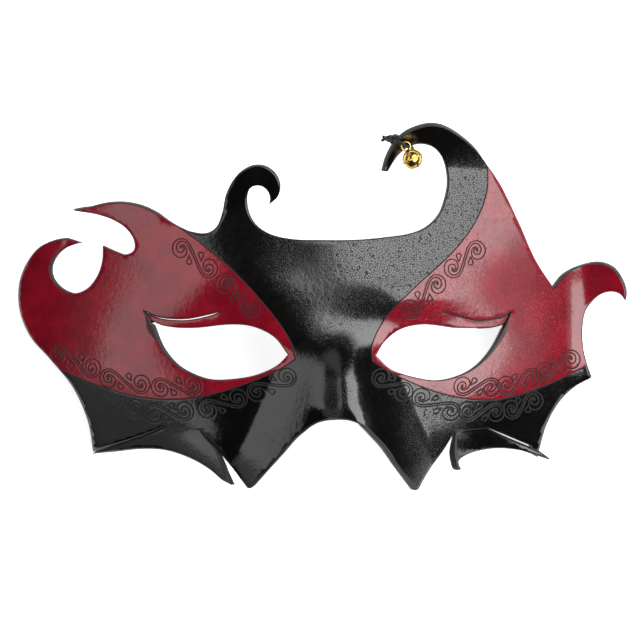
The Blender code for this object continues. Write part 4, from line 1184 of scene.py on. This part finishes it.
@dataclass
class BellPlace:
    """Where the bell hangs: its loop beside the horn's tip and its middle below it."""

    mask: LeatherMask
    loop_at: tuple[float, float] = (25.1, 67.6)
    bell_at: tuple[float, float] = (27.4, 63.2)
    loop_rise: float = 2.4

    def front(self, x: float, y: float) -> float:
        """Height of the horn's front at one point."""
        return float(self.mask.sheet_height(np.array([x]), np.array([y]))[0])

    def loop(self) -> Array:
        """Centre of the bell's loop."""
        return np.array([*self.loop_at, self.front(*self.loop_at) + self.loop_rise])

    def axes(self) -> tuple[Array, Array, Array, Array, float]:
        """The bell's middle, its side, its front and its upward axis, and the loop's distance."""
        loop = self.loop()
        middle = np.array([*self.bell_at, loop[2]])
        reach = float(np.linalg.norm(loop - middle))
        up = (loop - middle) / reach
        side = np.cross(up, (0, 0, 1.0))
        side /= np.linalg.norm(side)
        return middle, side, np.cross(up, side), up, reach


@dataclass
class JingleBell:
    """A bell pressed from brass: a dome, a crimped band, and four petals with slots between."""

    place: BellPlace
    radius: float = 3.5
    wall: float = 0.35
    band: float = 0.25
    band_half: float = 0.42
    slot: float = 0.8
    slot_top: float = -0.9
    slot_blend: float = 0.35
    widest_gap: float = 0.7
    petal_low: float = -74.0
    first_slot: float = 20.0
    neck: tuple[float, float] = (1.5, 0.62)
    loop_radius: float = 1.5
    wire: float = 0.35
    crimps: int = 30
    crimp: float = 0.06

    def turned(self, radius: Array, height: Array, columns: int, crimped: bool = False) -> Array:
        """A profile turned round the axis: (r cos a, r sin a, z), crimped by cos(n a)."""
        angle = np.arange(columns) * math.tau / columns
        crimp = self.crimp * np.cos(self.crimps * angle) if crimped else np.zeros(columns)
        reach = radius[:, None] + crimp
        return np.stack([reach * np.cos(angle), reach * np.sin(angle),
                         np.broadcast_to(height[:, None], reach.shape)], axis=-1)

    def dome(self) -> Array:
        """The upper half from the band up over the top and back down inside."""
        out = np.radians(np.linspace(-3, 89.5, 22))
        back = out[::-1]
        inner = self.radius - self.wall
        return self.turned(np.concatenate([self.radius * np.cos(out), inner * np.cos(back)]),
                           np.concatenate([self.radius * np.sin(out), inner * np.sin(back)]), 72)

    def band_ring(self) -> Array:
        """The crimped band: a low rounded rib round the middle."""
        t = np.linspace(0, math.tau, 14, endpoint=False)
        middle = self.radius - 0.05
        return self.turned(middle + (self.band + 0.05) * np.cos(t),
                           self.band_half * np.sin(t), 180, True)

    def petals(self) -> list[Array]:
        """Each petal as a closed strip: the sphere between the middles of two slots.

        At latitude p the slot takes asin((slot/2) / (r cos p)) from each side, and above the
        slot's top it takes nothing more than a hair.
        """
        grids = []
        latitude = np.radians(np.linspace(-4, self.petal_low, 20))
        part = np.linspace(0, 1, 17)
        for quarter in range(4):
            start = math.radians(self.first_slot + 90 * quarter)
            layers = []
            for radius in (self.radius, self.radius - self.wall):
                reach, height = radius * np.cos(latitude), radius * np.sin(latitude)
                open_part = soft_step(0.0, self.slot_blend, self.slot_top - height)
                gap = np.arcsin(np.minimum(self.slot / 2 * open_part / reach, self.widest_gap))
                angle = start + gap[:, None] + (math.pi / 2 - 2 * gap[:, None]) * part
                layers.append(np.stack([reach[:, None] * np.cos(angle),
                                        reach[:, None] * np.sin(angle),
                                        np.broadcast_to(height[:, None], angle.shape)], axis=-1))
            grids.append(np.concatenate([layers[0], layers[1][::-1]], axis=0))
        return grids

    def neck_grid(self, reach: float) -> Array:
        """The neck: a small cone from the dome up to the loop."""
        low = self.radius - 0.5
        top = reach - self.loop_radius + 0.1
        t = np.linspace(0, 1, 8)
        radius = self.neck[0] + (self.neck[1] - self.neck[0]) * t**0.6
        radius = np.concatenate([[0.01], radius, [0.01]])
        return self.turned(radius, np.concatenate([[low], low + (top - low) * t, [top]]), 32)

    def build(self) -> bpy.types.Object:
        """The bell's object, turned and placed in its mesh."""
        middle, side, front, up, reach = self.place.axes()
        angle = np.arange(48) * math.tau / 48
        ring = np.column_stack([self.loop_radius * np.cos(angle), np.zeros(48),
                                reach + self.loop_radius * np.sin(angle)])
        wire, _ = tube(ring, self.wire, True)
        blocks = [(self.dome(), False, True), (self.band_ring(), True, True),
                  (self.neck_grid(reach), False, True), (wire, True, True)]
        blocks += [(petal, True, False) for petal in self.petals()]
        axes = np.array([side, front, up])
        placed = [(block @ axes + middle + (*PATTERN_ORIGIN, 0), rows, columns)
                  for block, rows, columns in blocks]
        mesh = grid_mesh("brass_jingle_bell", placed)
        capped(mesh)
        return closed_object("brass_jingle_bell", mesh, math.radians(50))


def capped(mesh: bpy.types.Mesh) -> None:
    """Closes every open hole of a mesh with a face."""
    work = bmesh.new()
    work.from_mesh(mesh)
    bmesh.ops.remove_doubles(work, verts=work.verts, dist=0.002 * MM)
    bmesh.ops.holes_fill(work, edges=[e for e in work.edges if e.is_boundary], sides=0)
    work.to_mesh(mesh)
    work.free()


@dataclass
class BellCord:
    """A short waxed cord, through the bell's loop and round the horn, knotted beside it."""

    place: BellPlace
    radius: float = 0.55
    step: float = 0.25
    stand_off: float = 1.0
    outer_edge: tuple[float, float] = (22.6, 69.4)
    inner_edge: tuple[float, float] = (26.6, 67.3)
    knot_at: tuple[float, float] = (20.4, 70.2)
    knot_rise: float = 0.5
    knot_size: float = 0.46
    ends: tuple[Line, ...] = (
        ((20.6, 70.6, 0), (19.4, 70.9, 0.5), (18.2, 70.7, 0), (16.9, 69.7, -0.3)),
        ((20.4, 69.9, 0), (19.5, 69.5, 0.4), (18.4, 69.9, 0.9), (17.3, 70.9, 0.6)),
    )

    def route(self) -> Array:
        """The loop's centre line: over the horn, down through the bell's loop, and back behind."""
        outer = np.array([*self.outer_edge, self.place.front(*self.outer_edge)])
        inner = np.array([*self.inner_edge, self.place.front(*self.inner_edge)])
        half = np.linalg.norm(inner - outer) / 2
        across = (inner - outer) / (2 * half)
        middle = (outer + inner) / 2
        _, normals = self.place.mask.raised(self.place.mask.sheet_height, middle[None, :2])
        above = normals[0]
        loop = self.place.loop()
        behind = -self.place.mask.thickness - self.stand_off

        def beside(reach: float, rise: float) -> Array:
            return middle + across * reach + above * rise

        return np.array([
            beside(-half - self.stand_off - 0.1, -0.4),
            beside(-half - 0.5, self.stand_off + 0.2),
            loop + (-1.4, 1.1, 1.6),
            loop + (-0.35, 0.3, 1.35),
            loop + (0, 0, 0.5),
            loop + (0, 0, -0.6),
            loop + (0.7, -0.2, -1.5),
            beside(half + 1.1, 0.45),
            beside(half + 1.2, -1.9),
            beside(half + 0.5, behind - 0.1),
            beside(-half - 0.4, behind - 0.1),
            beside(-half - self.stand_off - 0.1, -1.9),
        ])

    def knot(self, height: float) -> Array:
        """An overhand knot as a trefoil: (sin t + 2 sin 2t, cos t - 2 cos 2t, -1.2 sin 3t)."""
        t = np.linspace(0, math.tau, 96, endpoint=False)
        turns = np.column_stack([np.sin(t) + 2 * np.sin(2 * t), np.cos(t) - 2 * np.cos(2 * t),
                                 -1.2 * np.sin(3 * t)])
        return turns * self.knot_size + (*self.knot_at, height)

    def build(self) -> bpy.types.Object:
        """The cord's object: the loop, the knot and two short ends."""
        route = self.route()
        height = route[0][2] + self.knot_rise
        lines = [(evenly(smooth_curve(route, True), self.step)[:-1], self.radius, True),
                 (self.knot(height), self.radius, True)]
        for end in self.ends:
            curve = evenly(smooth_curve([(x, y, height + z) for x, y, z in end]), self.step)
            lines.append((*rounded_end(curve, self.radius), False))
        placed, maps = [], []
        for line, radius, closed in lines:
            points, along = tube(line, radius, closed)
            placed.append((points + (*PATTERN_ORIGIN, 0), closed, True))
            maps.append(along)
        mesh = grid_mesh("waxed_bell_cord", placed, maps)
        capped(mesh)
        return closed_object("waxed_bell_cord", mesh, math.radians(60))


# The studio


@dataclass(frozen=True)
class SoftBox:
    """A rectangular soft light that faces the middle of the object."""

    name: str
    centre: tuple[float, float, float]
    half_size: tuple[float, float]
    radiance: float
    lean: float = 0.0

    def build(self, target: Vector) -> None:
        """Adds the light: power = radiance · pi · area, as a flat even emitter gives."""
        light = bpy.data.lights.new(self.name, "AREA")
        light.shape = "RECTANGLE"
        light.size, light.size_y = (2 * half * MM for half in self.half_size)
        light.energy = self.radiance * math.pi * light.size * light.size_y
        obj = bpy.data.objects.new(self.name, light)
        back = (Vector(self.centre) * MM - target).normalized()
        up = Vector((self.lean, 1, 0))
        side = up.cross(back).normalized()
        turn = np.array([side, back.cross(side), back]).T
        matrix = np.eye(4)
        matrix[:3, :3] = turn
        matrix[:3, 3] = Vector(self.centre) * MM
        obj.matrix_world = Matrix(matrix.tolist())
        bpy.context.scene.collection.objects.link(obj)


@dataclass
class Studio:
    """A white sweep, soft boxes at both sides, and a camera straight above on a long lens."""

    boxes: tuple[SoftBox, ...] = (
        SoftBox("left_box", (-675, -20, 683), (152, 500), 1.55, 0.42),
        SoftBox("left_fill", (-830, -150, 520), (110, 420), 0.2, 0.3),
        SoftBox("left_low_fill", (-880, -680, 400), (260, 200), 0.35),
        SoftBox("left_high_fill", (-520, 740, 420), (320, 320), 0.6),
        SoftBox("right_box", (452, 117, 800), (398, 530), 5.6, -0.3),
        SoftBox("right_box_top", (288, 698, 790), (398, 80), 2.7, -0.3),
        SoftBox("right_fill", (915, -110, 530), (180, 170), 0.8),
    )
    frame_width: float = 224.0
    frame_middle: tuple[float, float] = (-0.77, -4.71)
    camera_height: float = 6000.0
    sensor_width: float = 36.0
    view_end: float = 20.0
    sharp_level: float = 22.0
    room_glow: float = 0.02
    floor_half: float = 3.0
    floor_glow: float = 0.8

    def build(self) -> None:
        """Adds the floor, the lights, the dim surroundings and the camera."""
        self.floor()
        target = Vector((*PATTERN_ORIGIN, self.sharp_level)) * MM
        for box in self.boxes:
            box.build(target)
        scene = bpy.context.scene
        scene.view_settings.view_transform = "Standard"
        world = bpy.data.worlds.new("dim_room")
        world.use_nodes = True
        room = world.node_tree.nodes["Background"].inputs
        room["Color"].default_value = (1, 1, 1, 1)
        room["Strength"].default_value = self.room_glow
        scene.world = world
        camera = bpy.data.cameras.new("camera_above")
        camera.sensor_width = self.sensor_width
        distance = self.camera_height - self.sharp_level
        camera.lens = camera.sensor_width * distance / self.frame_width
        camera.clip_end = self.view_end
        obj = bpy.data.objects.new("camera_above", camera)
        obj.location = Vector((*self.frame_middle, self.camera_height)) * MM
        scene.collection.objects.link(obj)
        scene.camera = obj

    def floor(self) -> None:
        """A wide white floor that glows a little, as a lit white table does."""
        mesh = bpy.data.meshes.new("floor")
        half = self.floor_half
        corners = [(-half, -half, 0), (half, -half, 0), (half, half, 0), (-half, half, 0)]
        mesh.from_pydata(corners, [], [(0, 1, 2, 3)])
        obj = bpy.data.objects.new("floor", mesh)
        bpy.context.scene.collection.objects.link(obj)
        f = Finish("white_table")
        f.link(f.shader, {"Base Color": colour("#f4f4f4"), "Roughness": 0.9,
                          "Emission Color": (1, 1, 1, 1), "Emission Strength": self.floor_glow})
        obj.data.materials.append(f.material)


def main() -> None:
    """Builds the mask, the bell, the cord and the studio, and reports each piece."""
    logging.basicConfig(level=logging.INFO, format="%(message)s")
    mask = LeatherMask()
    sheet = mask.build()
    for finish in (DyedLeather(), BurnishedEdge(), FleshSide()):
        sheet.data.materials.append(finish.make())
    place = BellPlace(mask)
    bell = JingleBell(place).build()
    bell.data.materials.append(PolishedBrass().make())
    cord = BellCord(place).build()
    cord.data.materials.append(WaxedCord().make())
    for piece, node, slot in ((sheet, "leather_mask", "leather"), (bell, "jingle_bell", "brass"),
                              (cord, "bell_cord", "cord")):
        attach(piece, "root")
        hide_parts(node)
        LOG.info("%s stands for %s", piece.name, node)
    Studio().build()
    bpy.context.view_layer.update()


if __name__ == "__main__":
    main()
